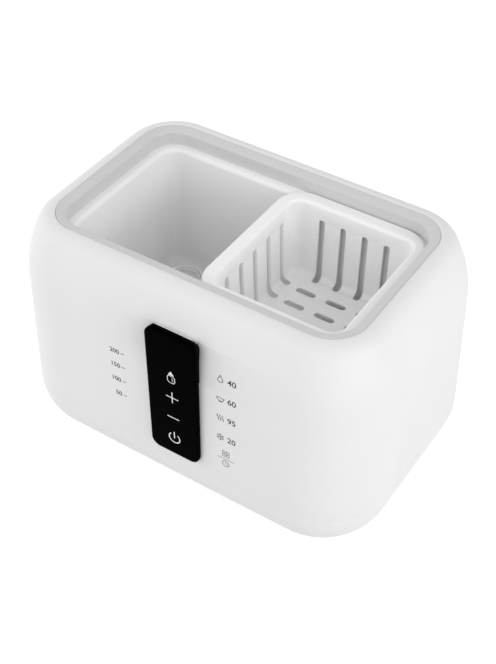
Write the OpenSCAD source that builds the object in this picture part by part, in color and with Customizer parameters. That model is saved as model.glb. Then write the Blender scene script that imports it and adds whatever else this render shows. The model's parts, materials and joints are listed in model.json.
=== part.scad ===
// Two-well bottle warmer and steriliser with a lift-out basket.
// Millimetres. The origin is on the floor under the middle of the body, Z is up and the panel faces -Y.

/* [Body] */
// Width across the top of the straight walls
body_w = 220; // [205:1:250]
// Depth across the top of the straight walls
body_d = 147; // [140:1:175]
// Height from the underside of the base to the rim
body_h = 144; // [138:1:165]
// Plan radius of the upright corners
corner_r = 38; // [36:0.5:42]
// Lean of the walls in degrees, wider towards the base
wall_lean = 1.5; // [0.5:0.1:2.5]
// Thickness of the casing and base walls
shell_t = 2.6; // [2:0.1:3]
// Radius of the long arc of the shoulder
crown_r = 75; // [70:1:80]
// Radius of the short arc at the rim
tip_r = 11; // [9:0.5:13]
// Angle at which the long arc meets the short one
crown_turn = 27; // [26:0.5:29]
// Radius of the rounded edge of the base
base_r = 31; // [28:0.5:33]
// Height of the casing joint over the rounded edge
joint_rise = 0.5; // [0.2:0.1:3]
// Height of the tongue of the base inside the casing
tongue_h = 4; // [2:0.5:6]
// Thickness of that tongue
tongue_t = 1.6; // [1:0.1:2.4]

/* [Rim] */
// Width of the flat rim ring
rim_w = 5.8; // [5:0.1:6.5]
// Fall of the ring towards the tank
rim_fall = 1.4; // [0.5:0.1:2]
// Thickness of the ring where it sits in the casing
rim_t = 3; // [2.5:0.1:3.5]
// Height of the step wall under the ring
step_h = 8.6; // [6.5:0.1:10]
// Thickness of the step wall
step_t = 1.8; // [1.2:0.1:2.4]
// Thickness of the casing seat under the ring
seat_t = 2.2; // [1.5:0.1:2.6]

/* [Tank] */
// Width of the lip between step wall and tank wall
lip_w = 4.8; // [4:0.1:5.5]
// Rounding of the lip
lip_round = 3; // [2:0.1:3.5]
// Depth of the tank below the lip
tank_depth = 79; // [70:1:85]
// Lean of the tank walls in degrees
tank_lean = 2; // [1:0.1:2.4]
// Thickness of the tank walls
tank_t = 2.2; // [1.6:0.1:2.8]

/* [Basket] */
// Left edge of the basket rim, measured from the middle of the body
basket_left = -1.7; // [-4:0.1:4]
// Width of the free rim on the left of the basket
basket_rim_w = 7; // [6:0.5:10]
// Play between the right wall of the basket and the tank
basket_play = 0.75; // [0.6:0.05:2]
// Space between the front and rear walls of the basket and the tank
basket_space = 2.45; // [1:0.05:6]
// Depth of the basket below the top of its rim
basket_depth = 48.5; // [35:0.5:65]
// Plan radius of the basket mouth
basket_r = 7; // [6:0.5:14]
// Lean of the basket walls in degrees
basket_lean = 1.6; // [1.5:0.1:3.5]
// Thickness of the basket walls
basket_t = 1.6; // [1.2:0.1:2]
// Thickness of the basket rim
basket_rim_t = 1.6; // [1.2:0.1:3]
// Rounding of the mouth of the basket
basket_round = 3; // [2:0.1:3.5]
// Outer radius of the left rim corners
basket_left_r = 16; // [8:0.5:18]
// Outer radius of the right rim corners
basket_right_r = 17; // [16:0.5:22]
// Width of the slots
slot_w = 3.9; // [2:0.1:4.2]
// Height of the slot tops below the rim
slot_drop = 9; // [7:0.5:16]
// Reach of the wall slots onto the floor
slot_foot = 5.5; // [1:0.5:6]
// Spacing of the wall slots
slot_pitch = 13.2; // [11:0.1:14]
// Slots in the front and in the rear wall
slots_long = 4; // [2:1:4]
// Slots in each side wall
slots_side = 5; // [3:1:5]
// Length of the floor slots
floor_slot_l = 12.4; // [8:0.1:15]
// Spacing of the floor slots along their length
floor_pitch = 19; // [17:0.5:20]
// Spacing of the floor slots across their length
floor_row = 12.4; // [10:0.1:14]

/* [Panel] */
// Middle of the panel, measured from the middle of the body
panel_x = 5.8; // [-20:0.1:20]
// Width of the panel
panel_w = 30.5; // [28:0.5:40]
// Height of the panel frame
panel_h = 82.5; // [78:0.5:86]
// Rise of the top of the panel frame over the straight wall
panel_rise = 16.6; // [4:0.1:20]
// Reach of the panel face over the top of its frame
lens_rise = 4; // [0:0.1:6]
// Corner radius of the panel
panel_r = 5.5; // [5:0.5:11]
// Stand of the panel face in front of the wall
panel_proud = 4.4; // [4:0.1:8]
// Thickness of the panel face
lens_t = 2.2; // [1.5:0.1:3]
// Thickness of the frame walls and of its flange
frame_t = 2; // [1.5:0.1:2.4]
// Width of the frame flange beside the panel
frame_ear = 9; // [8:0.5:12]
// Height of the lowest touch key over the lower edge
key_first = 14.2; // [12:0.1:16]
// Spacing of the touch keys
key_pitch = 14.5; // [12:0.1:15]
// Length of the touch springs
key_spring_l = 5.5; // [4.5:0.1:6]
// Outer radius of the touch springs
key_spring_r = 4.2; // [3:0.1:4.5]

/* [Heater] */
// Radius of the raised part of the heating plate
plate_r = 27; // [24:0.5:28]
// Thickness of the heating plate
plate_t = 1; // [0.8:0.1:1.6]
// Width of the plate flange
plate_flange = 6; // [5:0.5:7]
// Thickness of the plate seal
seal_t = 1.6; // [1:0.1:2.5]
// Length of the clamp ring bosses under the tank
clamp_boss_h = 8; // [7:0.5:12]
// Thickness of the clamp ring and of the thermostat strap
clamp_t = 1.5; // [1:0.1:2]
// Thickness of the heat spreader
spreader_t = 3; // [2:0.5:4]
// Radius of the heating element loop
element_r = 18; // [16:0.5:19]
// Tube radius of the heating element
element_tube_r = 3.2; // [2.5:0.1:3.4]
// Gap between the ends of the element, in degrees
element_gap = 40; // [30:1:60]
// Radius of the thermostat
thermostat_r = 8.5; // [7:0.5:10]

/* [Probe] */
// From the left end of the flat tank floor to the probe seal
probe_x = 2.5; // [0.3:0.1:14]
// From the rear edge of the flat tank floor to the probe seal
probe_y = 0.3; // [0.3:0.1:26]
// Outer radius of the probe seal
probe_seal_r = 9; // [7:0.5:9]
// Height of the probe seal over the tank floor
probe_seal_h = 4; // [3:0.5:6]

/* [Power] */
// Width of the power board
power_w = 62; // [50:1:62]
// Front-to-back size of the power board
power_d = 66; // [60:1:72]
// Height of the power board over the base floor
power_rise = 6; // [4:0.5:10]
// Thickness of both boards
board_t = 1.6; // [1:0.1:2]
// Place of the cord gland, left of the middle
gland_x = 55; // [30:1:60]
// Height of the cord gland over the casing joint
gland_rise = 16; // [12:1:40]
// Bore radius of the cord gland
gland_bore_r = 3.6; // [2.5:0.1:4]

/* [Feet and screws] */
// Height of the feet under the base
foot_h = 2.5; // [1.5:0.1:5]
// Radius of the feet
foot_r = 8; // [6:0.5:10]
// Depth of the pockets that hold the feet
foot_pocket = 1.2; // [0.6:0.1:1.4]
// Inset of the feet from the edge of the flat base
foot_inset = 12; // [11:0.5:20]
// Inset of the base screws from the outer wall
post_inset = 16; // [14:0.5:18]
// Radius of the base screw posts
post_r = 4; // [3.5:0.1:4.5]
// Shank radius of the large screws
screw_r = 1.5; // [1.2:0.1:1.7]
// Shank radius of the small screws
small_screw_r = 1; // [0.8:0.1:1.1]
// Side clearance between separate pieces
gap = 0.3; // [0.2:0.05:0.4]

/* [Hidden] */
$fa = 3;
$fs = 0.5;
eps = 0.01;
lap = 0.6;
bite = 0.03;

// Corner centres shared by casing, base, ring and tank
mid_x = body_w / 2 - corner_r;
mid_y = body_d / 2 - corner_r;

// Shoulder of the casing: a long arc that starts on the leaning wall, then a short one that ends flat
crown_in = crown_r * cos(wall_lean) - (crown_r - tip_r) * cos(crown_turn);
crown_h = (crown_r - tip_r) * sin(crown_turn) + tip_r - crown_r * sin(wall_lean);
top_z = foot_h + body_h;
shoulder_z = top_z - crown_h;
crown_cx = corner_r - crown_r * cos(wall_lean);
crown_cz = shoulder_z - crown_r * sin(wall_lean);

// Radii are measured from the corner centres
rim_r = corner_r - crown_in;
step_r = rim_r - rim_w;
tank_r = step_r - lip_w;
lip_z = top_z - rim_fall - step_h;
tank_z = lip_z - tank_depth;
seat_z = top_z - rim_t;
seat_web = 2.2;

// Outer wall of the casing at a height, and the inner face behind it
function wall_x(z) = corner_r + (shoulder_z - z) * tan(wall_lean);
function crown_x(z, r) = crown_cx + sqrt(r * r - pow(z - crown_cz, 2));
function skin_x(z) = z < shoulder_z ? wall_x(z) : crown_x(z, crown_r);
function inner_x(z) = z < shoulder_z ? wall_x(z) - shell_t / cos(wall_lean) : crown_x(z, crown_r - shell_t);

// Rounded base and the joint over it
base_tan_z = foot_h + base_r * (1 + sin(wall_lean));
base_x = wall_x(base_tan_z) - base_r * cos(wall_lean);
joint_z = base_tan_z + joint_rise;
base_floor_z = foot_h + shell_t;
function base_under(x) = foot_h + base_r - sqrt(base_r * base_r - pow(max(0, x - base_x), 2));

// Base screws, their counterbores and posts
head_r = 2.3 * screw_r;
head_h = 1.4 * screw_r;
post_reach = wall_x(joint_z) - post_inset;
post_x = mid_x + post_reach * cos(45);
post_y = mid_y + post_reach * sin(45);
post_rib_t = 2.4;
base_boss_r = post_r + 1.2;
base_seat_z = base_under(post_reach + base_boss_r) + head_h + gap;
post_floor = 5;
post_z = base_seat_z + post_floor;
post_h = 26;
post_top_z = joint_z + post_h;
post_screw_l = 16;

// Tank hanging under the casing seat
liner_boss_r = screw_r + 0.9;
liner_reach = step_r + step_t + gap + liner_boss_r;
liner_flange_r = liner_reach + head_r + gap;
liner_screw_l = tank_t + seat_z - seat_t - lip_z + seat_t / 2;

// Radius of a rounded floor corner that runs smoothly into a leaning wall
function floor_round(mouth_r, depth, lean) =
    (mouth_r * cos(lean) - depth * sin(lean) + bite) / (1 - sin(lean));

// Basket in the right half, its sizes in whole tenths of a millimetre
function tenths(v) = floor(10 * v) / 10;
basket_x1 = tenths(mid_x + step_r - 2 * gap);
basket_y1 = tenths(mid_y + step_r - 2 * gap);
basket_w = tenths(mid_x + tank_r - basket_play - basket_t - basket_left - basket_rim_w);
basket_d = tenths(2 * (mid_y + tank_r - basket_space - basket_t));
basket_x = basket_left + basket_rim_w + basket_w / 2;
basket_mid_x = basket_w / 2 - basket_r;
basket_mid_y = basket_d / 2 - basket_r;
basket_rim_z = lip_z + gap + basket_rim_t;
basket_z = basket_rim_z - basket_depth;
basket_floor_r = floor_round(basket_r, basket_depth, basket_lean);
floor_columns = 3;
function centred(i, count) = i - (count - 1) / 2;

// Panel
panel_z1 = shoulder_z + panel_rise;
panel_z0 = panel_z1 - panel_h;
panel_z = (panel_z0 + panel_z1) / 2;
lens_y = -(body_d / 2 + panel_proud);
lens_back_y = lens_y + lens_t;
frame_inset = 0.8;
frame_y = -(mid_y + inner_x(panel_z1)) + frame_inset;
frame_back_y = frame_y + frame_t;
ear_x = panel_w / 2 + frame_ear / 2;
ear_drop = 8;
control_y = lens_back_y + key_spring_l;
control_back_y = control_y + board_t;
control_w = panel_w - 2 * frame_t - 2 * gap;
control_h = panel_h - 2 * frame_t - 2 * gap;
control_r = panel_r - frame_t - gap;
key_count = 4;
keys_z = [for (i = [0 : key_count - 1]) panel_z0 + key_first + i * key_pitch];
rail_w = 2.4;
rail_t = 2.5;
lug_x = control_w / 2 - 2.6;
lug_w = 5;
lug_places = [[lug_x, (keys_z[0] + keys_z[1]) / 2], [-lug_x, (keys_z[2] + keys_z[3]) / 2]];
display_w = 18;
display_edge = 3;
display_space = 1.6;
display_t = key_spring_l - gap;
display_z0 = keys_z[key_count - 1] + key_spring_r + display_space;
display_h = panel_z1 - frame_t - display_edge - display_z0;
led_w = 2;
led_t = 1.2;

// Heater stack, downwards from the tank floor
plate_hole_r = plate_r + gap;
plate_seat_z = tank_z - tank_t - seal_t;
plate_rim_r = plate_r + plate_flange;
clamp_z = tank_z - tank_t - clamp_boss_h;
clamp_under_z = clamp_z - clamp_t;
clamp_screw_r = plate_rim_r + gap + head_r;
clamp_rim_r = clamp_screw_r + head_r + gap;
clamp_count = 4;
spreader_z = tank_z - plate_t - spreader_t;
spreader_r = plate_r - 3;
contact = 0.1;
element_z = spreader_z - contact - element_tube_r;
pin_r = 1.6;
pin_l = 14;
pin_turn = element_gap / 2 + 6;
pin_x = element_r * cos(pin_turn);
pin_y = element_r * sin(pin_turn);
pin_z = element_z - pin_l;
thermostat_neck_r = thermostat_r - 2.5;
thermostat_l = 6;
strap_w = 2 * thermostat_r - 3;
strap_l = 2 * plate_rim_r;
strap_t = 1;
fuse_r = 2;
fuse_l = 12;
fuse_z = clamp_under_z - strap_t - contact - fuse_r;

// Probe
probe_at_x = probe_x + probe_seal_r - mid_x;
probe_at_y = mid_y - probe_y - probe_seal_r;
probe_shank_r = 4;
probe_head_r = probe_seal_r - 1.6;
probe_head_z = tank_z + probe_seal_h - 1.2;
probe_l = 18;
nut_h = 4;
nut_r = 8;

// Power board
lead_inset = 14;
power_x0 = pin_x - lead_inset;
power_z = base_floor_z + power_rise;
power_top_z = power_z + board_t;
standoff_r = 3.5;
standoff_inset = 5;
standoffs = [
    for (x = [power_x0 + standoff_inset, power_x0 + power_w - standoff_inset])
        for (y = [-1, 1]) [x, y * (power_d / 2 - standoff_inset)]
];
relay_w = 19;
relay_d = 15;
relay_h = 15;
relay_back_x = 48;
relay_back_y = 3;
transformer_w = 26;
transformer_d = 22;
transformer_h = 20;
transformer_back_x = 28;
transformer_back_y = 14;
terminal_w = 20;
terminal_d = 11;
terminal_h = 12;
terminal_back_x = 30;
terminal_back_y = 40;
lead_r = 1.5;
ribbon_w = 8;
ribbon_t = 1;
ribbon_x0 = panel_x + 1;
ribbon_drop_y = frame_back_y + 4;
ribbon_run_z = power_top_z + 6;
ribbon_end_y = -power_d / 2 + 12;
ribbon_start_z = panel_z0 + 12;

// Cord gland
gland_z = joint_z + gland_rise;
gland_t = 2.8;
gland_body_r = gland_bore_r + gland_t;
gland_flange_w = 2.6;
gland_flange_r = gland_body_r + gland_flange_w;
gland_flange_t = 2.5;
gland_lock_w = 1.6;
gland_lock_r = gland_body_r + gland_lock_w;
gland_lock_t = 2;
gland_in = shell_t + gland_lock_t;

// Feet
foot_x = mid_x + base_x - foot_inset;
foot_y = mid_y + base_x - foot_inset;
foot_places = [[-foot_x, -foot_y], [foot_x, -foot_y], [-foot_x, foot_y], [foot_x, foot_y]];

white = [0.93, 0.93, 0.93];
tank_white = [0.9, 0.9, 0.9];
ring_grey = [0.78, 0.79, 0.8];
black = [0.03, 0.03, 0.035];
steel = [0.75, 0.76, 0.78];
board_green = [0.1, 0.35, 0.2];

// Flat piece of a ring between two angles
module sector(r_out, r_in, from, to) {
    reach = 2 * r_out;
    mid = (from + to) / 2;
    intersection() {
        difference() {
            circle(r_out);
            circle(r_in);
        }
        polygon([[0, 0], for (a = [from, mid, to]) [reach * cos(a), reach * sin(a)]]);
    }
}

// Small patch inside a wall, across the line where an arc about the origin meets its neighbour
module wall_lap(r, t, angle) {
    rotate(angle) translate([r - t / 2, 0]) square([t / 2, lap], center = true);
}

// Floor plate whose middle reaches a little way into the walls around it
module floor_plate(w, d, t) {
    translate([-w / 2, -d / 2, -t]) cube([w, d, t]);
    translate([-w / 2 - lap, -d / 2 - lap, -0.75 * t]) cube([w + 2 * lap, d + 2 * lap, t / 2]);
}

// Flat rectangle with round corners
module round_rect(w, h, r) {
    square([w - 2 * r, h], center = true);
    square([w, h - 2 * r], center = true);
    for (x = [-1, 1])
        for (y = [-1, 1])
            translate([x * (w / 2 - r), y * (h / 2 - r)]) circle(r);
}

// Carries a wall section round a rounded rectangle whose corner centres are at +-cx and +-cy
module around(cx, cy) {
    for (half = [0, 180]) rotate([0, 0, half]) {
        translate([cx, cy, 0]) rotate_extrude(angle = 90) children();
        translate([-cx, cy, 0]) rotate([0, 0, 90]) rotate_extrude(angle = 90) children();
        translate([cx, 0, 0]) rotate([90, 0, 0]) linear_extrude(2 * cy, center = true) children();
        translate([0, cy, 0]) rotate([90, 0, 90]) linear_extrude(2 * cx, center = true) children();
    }
}

// Outline of a well up to a height: a leaning side over a rounded foot centred at foot_z
module well_side(r, foot_z, lean, z) {
    side = (r - bite) / cos(lean);
    translate([0, foot_z]) circle(r);
    polygon([[0, foot_z], [side, foot_z], [side + (z - foot_z) * tan(lean), z], [0, z]]);
}

// Section of a leaning wall with a rounded foot and a rounded lip, and the stub of its flange
module well_section(mouth_r, z, depth, lean, t, lip, flange_r, flange_t) {
    r = floor_round(mouth_r, depth, lean);
    foot_z = z - depth + r;
    hold = lip - bite;
    lip_x = mouth_r + hold * (1 - sin(lean)) / cos(lean);
    lip_foot_z = z - hold + hold * sin(lean);
    difference() {
        intersection() {
            union() {
                well_side(r + t, foot_z, lean, z + lip);
                translate([mouth_r, z - flange_t]) square([flange_r, flange_t + lip]);
            }
            translate([0, z - depth - 2 * t]) square([flange_r, depth + 2 * t]);
        }
        well_side(r, foot_z, lean, z + lip);
        difference() {
            polygon([
                [lip_x, z + lip],
                [lip_x, z - hold],
                [lip_x - hold * cos(lean), lip_foot_z],
                [mouth_r - lip, lip_foot_z],
                [mouth_r - lip, z + lip]
            ]);
            translate([lip_x, z - hold]) circle(lip);
        }
    }
}

// Rounded plate that faces the front, centred on the panel
module panel_plate(w, h, r, y0, y1) {
    translate([panel_x, y0, panel_z]) rotate([-90, 0, 0]) linear_extrude(y1 - y0) round_rect(w, h, r);
}

// Opening for the panel frame, with its clearance
module panel_opening() {
    panel_plate(panel_w + 2 * gap, panel_h + 2 * gap, panel_r + gap, lens_y, frame_y);
}

// Pan-head screw that points up, with its seat at the origin
module screw(r, l) {
    rim = 2.3 * r;
    height = 1.4 * r;
    difference() {
        union() {
            cylinder(r = r, h = l);
            translate([0, 0, -height]) cylinder(r = rim, h = height);
        }
        for (a = [0, 90])
            rotate([0, 0, a]) translate([-0.6 * rim, -0.2 * r, -height - eps])
                cube([1.2 * rim, 0.4 * r, 0.6 * r]);
    }
}

module at_posts() {
    for (x = [-1, 1])
        for (y = [-1, 1])
            translate([x * post_x, y * post_y, 0]) children();
}

module at_liner_screws() {
    reach_y = mid_y + liner_reach;
    reach_x = mid_x + liner_reach;
    for (s = [-1, 1]) {
        translate([s * reach_x, 0, 0]) children();
        for (x = [-1, 1]) translate([x * mid_x / 1.5, s * reach_y, 0]) children();
    }
}

module at_clamp_screws() {
    for (i = [0 : clamp_count - 1])
        rotate([0, 0, (i + 0.5) * 360 / clamp_count]) translate([clamp_screw_r, 0, 0]) children();
}

// Children point towards the front, with their seat on the back of the frame flange
module at_panel_screws() {
    for (x = [-ear_x, ear_x])
        for (z = [panel_z0 + ear_drop, panel_z1 - ear_drop])
            translate([panel_x + x, 0, z]) children();
}

// Children stand on the outer face of the rear wall
module at_gland() {
    translate([-gland_x, mid_y + wall_x(gland_z), gland_z]) rotate([wall_lean - 90, 0, 0]) children();
}

// Space under the outer surface of the casing, or under a face that lies deeper by the inset
module casing_side(inset) {
    reach = 2 * crown_r;
    shift = inset / cos(wall_lean);
    difference() {
        union() {
            polygon([
                [0, 0],
                [wall_x(0) - shift, 0],
                [wall_x(shoulder_z) - shift, shoulder_z],
                [0, shoulder_z]
            ]);
            intersection() {
                translate([crown_cx, crown_cz]) circle(crown_r - inset + bite);
                translate([0, shoulder_z - tip_r]) square([reach, crown_h + tip_r - inset]);
            }
        }
        translate([rim_r, top_z - tip_r]) difference() {
            polygon([
                [0, 0],
                [reach * cos(crown_turn), reach * sin(crown_turn)],
                [reach, reach],
                [0, reach]
            ]);
            circle(tip_r - inset + bite);
        }
    }
}

module casing_section() {
    difference() {
        intersection() {
            casing_side(0);
            translate([rim_r, joint_z]) square([2 * corner_r, body_h]);
        }
        casing_side(shell_t);
    }
    polygon([
        [rim_r, top_z - shell_t / 2],
        [rim_r + seat_web, top_z - shell_t / 2],
        [rim_r + seat_web, seat_z - seat_t],
        [step_r + step_t + gap, seat_z - seat_t],
        [step_r + step_t + gap, seat_z],
        [rim_r, seat_z]
    ]);
}

module casing_posts() {
    rib_l = wall_x(post_top_z) - shell_t / 2 - post_reach;
    rib_z = joint_z + tongue_h + 2;
    at_posts() translate([0, 0, post_z]) cylinder(r = post_r, h = post_top_z - post_z);
    for (x = [-1, 1])
        for (y = [-1, 1])
            translate([x * post_x, y * post_y, rib_z])
                rotate([0, 0, atan2(y, x)])
                    translate([0, -post_rib_t / 2, 0]) cube([rib_l, post_rib_t, post_top_z - rib_z]);
}

module panel_boss(z) {
    reach = mid_y + skin_x(z) - shell_t / 2 + frame_y;
    translate([0, frame_y, z]) rotate([90, 0, 0]) cylinder(r = small_screw_r + 1.8, h = reach);
}

module outer_casing() {
    color(white) difference() {
        union() {
            around(mid_x, mid_y) casing_section();
            casing_posts();
            at_liner_screws() translate([0, 0, lip_z])
                cylinder(r = liner_boss_r, h = seat_z - seat_t / 2 - lip_z);
            for (x = [-ear_x, ear_x])
                for (z = [panel_z0 + ear_drop, panel_z1 - ear_drop])
                    translate([panel_x + x, 0, 0]) panel_boss(z);
        }
        panel_opening();
        at_posts() translate([0, 0, post_z - eps]) cylinder(r = screw_r + contact, h = post_screw_l);
        at_liner_screws() translate([0, 0, lip_z - eps])
            cylinder(r = screw_r + contact, h = liner_screw_l - tank_t + 2 * contact);
        at_panel_screws() translate([0, frame_y + eps, 0]) rotate([90, 0, 0])
            cylinder(r = small_screw_r + contact, h = 3);
        at_gland() translate([0, 0, -2 * shell_t]) cylinder(r = gland_body_r + gap, h = 4 * shell_t);
    }
}

module base_section() {
    tongue_x = wall_x(joint_z) - shell_t / cos(wall_lean) - gap - tongue_h * tan(wall_lean);
    root_x = wall_x(joint_z) - shell_t / 2;
    root_z = joint_z - tongue_h;
    translate([base_x, foot_h + base_r]) {
        sector(base_r, base_r - shell_t, -90, wall_lean);
        wall_lap(base_r, shell_t, -90);
    }
    polygon([
        [wall_x(joint_z), joint_z],
        [wall_x(base_tan_z), base_tan_z],
        [wall_x(base_tan_z) - shell_t * cos(wall_lean), base_tan_z - shell_t * sin(wall_lean)],
        [wall_x(joint_z) - shell_t / cos(wall_lean), joint_z]
    ]);
    polygon([
        [root_x, root_z],
        [root_x, joint_z],
        [tongue_x, joint_z],
        [tongue_x, joint_z + tongue_h],
        [tongue_x - tongue_t, joint_z + tongue_h],
        [tongue_x - tongue_t, root_z]
    ]);
}

// The whole space inside the outer surface of the base
module base_form() {
    around(mid_x, mid_y) {
        translate([base_x, foot_h + base_r]) sector(base_r, eps, -90, 0);
        translate([0, foot_h]) square([base_x, base_r]);
    }
    translate([-mid_x, -mid_y, foot_h]) cube([2 * mid_x, 2 * mid_y, base_r]);
}

module base_pan() {
    color(white) difference() {
        union() {
            around(mid_x, mid_y) base_section();
            translate([0, 0, foot_h]) linear_extrude(shell_t)
                round_rect(2 * (mid_x + base_x), 2 * (mid_y + base_x), base_x);
            intersection() {
                at_posts() translate([0, 0, foot_h]) cylinder(r = base_boss_r, h = post_z - foot_h);
                base_form();
            }
            for (p = standoffs)
                translate([p[0], p[1], foot_h + shell_t / 2])
                    cylinder(r = standoff_r, h = power_rise + shell_t / 2);
        }
        at_posts() {
            cylinder(r = head_r + gap, h = base_seat_z);
            cylinder(r = screw_r + gap, h = post_z + eps);
        }
        for (p = standoffs)
            translate([p[0], p[1], base_floor_z]) cylinder(r = screw_r + contact, h = power_rise + eps);
        for (p = foot_places)
            translate([p[0], p[1], foot_h - eps]) cylinder(r = foot_r + contact, h = foot_pocket + eps);
        panel_opening();
        panel_plate(panel_w + 2 * frame_ear + 2 * gap, panel_h + 2 * gap, frame_ear / 2,
            shell_t - mid_y - wall_x(joint_z), frame_back_y + gap);
    }
}

module top_ring() {
    color(ring_grey) around(mid_x, mid_y) polygon([
        [rim_r - contact, top_z],
        [step_r, top_z - rim_fall],
        [step_r, lip_z],
        [step_r + step_t, lip_z],
        [step_r + step_t, seat_z],
        [rim_r - contact, seat_z]
    ]);
}

module tank_liner() {
    color(tank_white) difference() {
        union() {
            around(mid_x, mid_y)
                well_section(tank_r, lip_z, tank_depth, tank_lean, tank_t, lip_round, liner_flange_r, tank_t);
            translate([0, 0, tank_z]) floor_plate(2 * mid_x, 2 * mid_y, tank_t);
            at_clamp_screws() translate([0, 0, clamp_z])
                cylinder(r = screw_r + 1.8, h = clamp_boss_h + tank_t / 2);
        }
        translate([0, 0, tank_z - 2 * tank_t]) cylinder(r = plate_hole_r, h = 3 * tank_t);
        at_clamp_screws() translate([0, 0, clamp_z - eps])
            cylinder(r = screw_r + contact, h = clamp_boss_h - 1);
        at_liner_screws() translate([0, 0, lip_z - 2 * tank_t]) cylinder(r = screw_r + gap, h = 3 * tank_t);
        translate([probe_at_x, probe_at_y, tank_z - 2 * tank_t])
            cylinder(r = probe_shank_r + gap, h = 3 * tank_t);
    }
}

module basket_rim() {
    w = basket_x1 - basket_left;
    translate([0, 0, basket_rim_z - basket_rim_t]) linear_extrude(basket_rim_t) difference() {
        translate([basket_left, 0]) union() {
            translate([0, basket_left_r - basket_y1])
                square([w / 2, 2 * (basket_y1 - basket_left_r)]);
            translate([w / 2, basket_right_r - basket_y1])
                square([w / 2, 2 * (basket_y1 - basket_right_r)]);
            translate([basket_left_r, -basket_y1])
                square([w - basket_left_r - basket_right_r, 2 * basket_y1]);
            for (s = [-1, 1]) {
                translate([basket_left_r, s * (basket_y1 - basket_left_r)]) circle(basket_left_r);
                translate([w - basket_right_r, s * (basket_y1 - basket_right_r)]) circle(basket_right_r);
            }
        }
        translate([basket_x, 0])
            round_rect(basket_w + 2 * basket_round, basket_d + 2 * basket_round, basket_r + basket_round);
    }
}

// One slot through wall and floor edge, in the wall that faces +X at the distance given
module wall_slot(wall_in) {
    reach = 2 * slot_foot + 2 * basket_t + basket_depth * tan(basket_lean);
    top = basket_rim_z - slot_drop - slot_w / 2;
    translate([wall_in - slot_foot, 0, 0]) rotate([90, 0, 90]) linear_extrude(reach) {
        translate([-slot_w / 2, basket_z - 2 * basket_t])
            square([slot_w, top - basket_z + 2 * basket_t]);
        translate([0, top]) circle(d = slot_w);
    }
}

module floor_slot() {
    straight = floor_slot_l - slot_w;
    translate([0, 0, basket_z - 2 * basket_t]) linear_extrude(3 * basket_t) {
        square([straight, slot_w], center = true);
        for (s = [-1, 1]) translate([s * straight / 2, 0]) circle(d = slot_w);
    }
}

module basket_slots() {
    foot_x = basket_mid_x + basket_floor_r;
    foot_y = basket_mid_y + basket_floor_r;
    for (half = [0, 180]) rotate([0, 0, half]) {
        for (i = [0 : slots_side - 1])
            translate([0, centred(i, slots_side) * slot_pitch, 0]) wall_slot(foot_x);
        for (i = [0 : slots_long - 1])
            translate([centred(i, slots_long) * slot_pitch, 0, 0]) rotate([0, 0, 90]) wall_slot(foot_y);
    }
    for (i = [0 : slots_side - 1])
        for (j = [0 : floor_columns - 1])
            translate([centred(j, floor_columns) * floor_pitch, centred(i, slots_side) * floor_row, 0])
                floor_slot();
}

module basket() {
    stub_r = basket_r + basket_round + 0.5;
    color(white) difference() {
        union() {
            basket_rim();
            translate([basket_x, 0, 0]) {
                around(basket_mid_x, basket_mid_y)
                    well_section(basket_r, basket_rim_z, basket_depth, basket_lean, basket_t, basket_round,
                        stub_r, basket_rim_t);
                translate([0, 0, basket_z]) floor_plate(2 * basket_mid_x, 2 * basket_mid_y, basket_t);
            }
        }
        translate([basket_x, 0, 0]) basket_slots();
    }
}

module panel_frame() {
    inner_w = panel_w - 2 * frame_t;
    inner_h = panel_h - 2 * frame_t;
    inner_r = panel_r - frame_t;
    rail_h = panel_h - 2 * panel_r;
    rail_x = inner_w / 2 - rail_w / 2 + frame_t / 4;
    color(black) difference() {
        union() {
            difference() {
                union() {
                    panel_plate(panel_w, panel_h, panel_r, lens_back_y, frame_back_y);
                    panel_plate(panel_w + 2 * frame_ear, panel_h, frame_ear / 2, frame_y, frame_back_y);
                }
                panel_plate(inner_w, inner_h, inner_r, lens_back_y - eps, frame_back_y + eps);
            }
            for (s = [-1, 1])
                translate([panel_x + s * rail_x, control_y - rail_t / 2, panel_z])
                    cube([rail_w + frame_t / 2, rail_t, rail_h], center = true);
            for (p = lug_places)
                translate([panel_x + p[0] - lug_w / 2, lens_back_y + 1, p[1] - lug_w / 2])
                    cube([lug_w, key_spring_l - 1, lug_w]);
        }
        for (p = lug_places)
            translate([panel_x + p[0], control_y + eps, p[1]]) rotate([90, 0, 0])
                cylinder(r = small_screw_r + contact, h = key_spring_l - 2);
        at_panel_screws() translate([0, frame_back_y + eps, 0]) rotate([90, 0, 0])
            cylinder(r = small_screw_r + gap, h = 2 * frame_t);
    }
}

module panel_lens() {
    color(black) translate([0, 0, lens_rise / 2])
        panel_plate(panel_w, panel_h + lens_rise, panel_r, lens_y, lens_back_y);
}

module control_board() {
    color(board_green) difference() {
        panel_plate(control_w, control_h, control_r, control_y, control_back_y);
        for (p = lug_places)
            translate([panel_x + p[0], control_back_y + eps, p[1]]) rotate([90, 0, 0])
                cylinder(r = small_screw_r + gap, h = 2 * board_t);
    }
}

module display_module() {
    color("dimgray") translate([panel_x - display_w / 2, control_y - display_t, display_z0])
        cube([display_w, display_t, display_h]);
}

module touch_springs() {
    color(steel)
        for (z = keys_z)
            translate([panel_x, control_y, z]) rotate([90, 0, 0]) difference() {
                cylinder(r = key_spring_r, h = key_spring_l);
                translate([0, 0, -eps]) cylinder(r = key_spring_r - 0.8, h = key_spring_l + 2 * eps);
            }
}

module icon_leds() {
    color("ivory")
        for (z = keys_z)
            translate([panel_x - led_w / 2, control_y - led_t, z - led_w / 2]) cube([led_w, led_t, led_w]);
}

module board_screws() {
    color(steel)
        for (p = lug_places)
            translate([panel_x + p[0], control_back_y, p[1]]) rotate([90, 0, 0])
                screw(small_screw_r, board_t + key_spring_l - 2.5);
}

module panel_screws() {
    color(steel) at_panel_screws() translate([0, frame_back_y, 0]) rotate([90, 0, 0])
        screw(small_screw_r, frame_t + 2.5);
}

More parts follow.
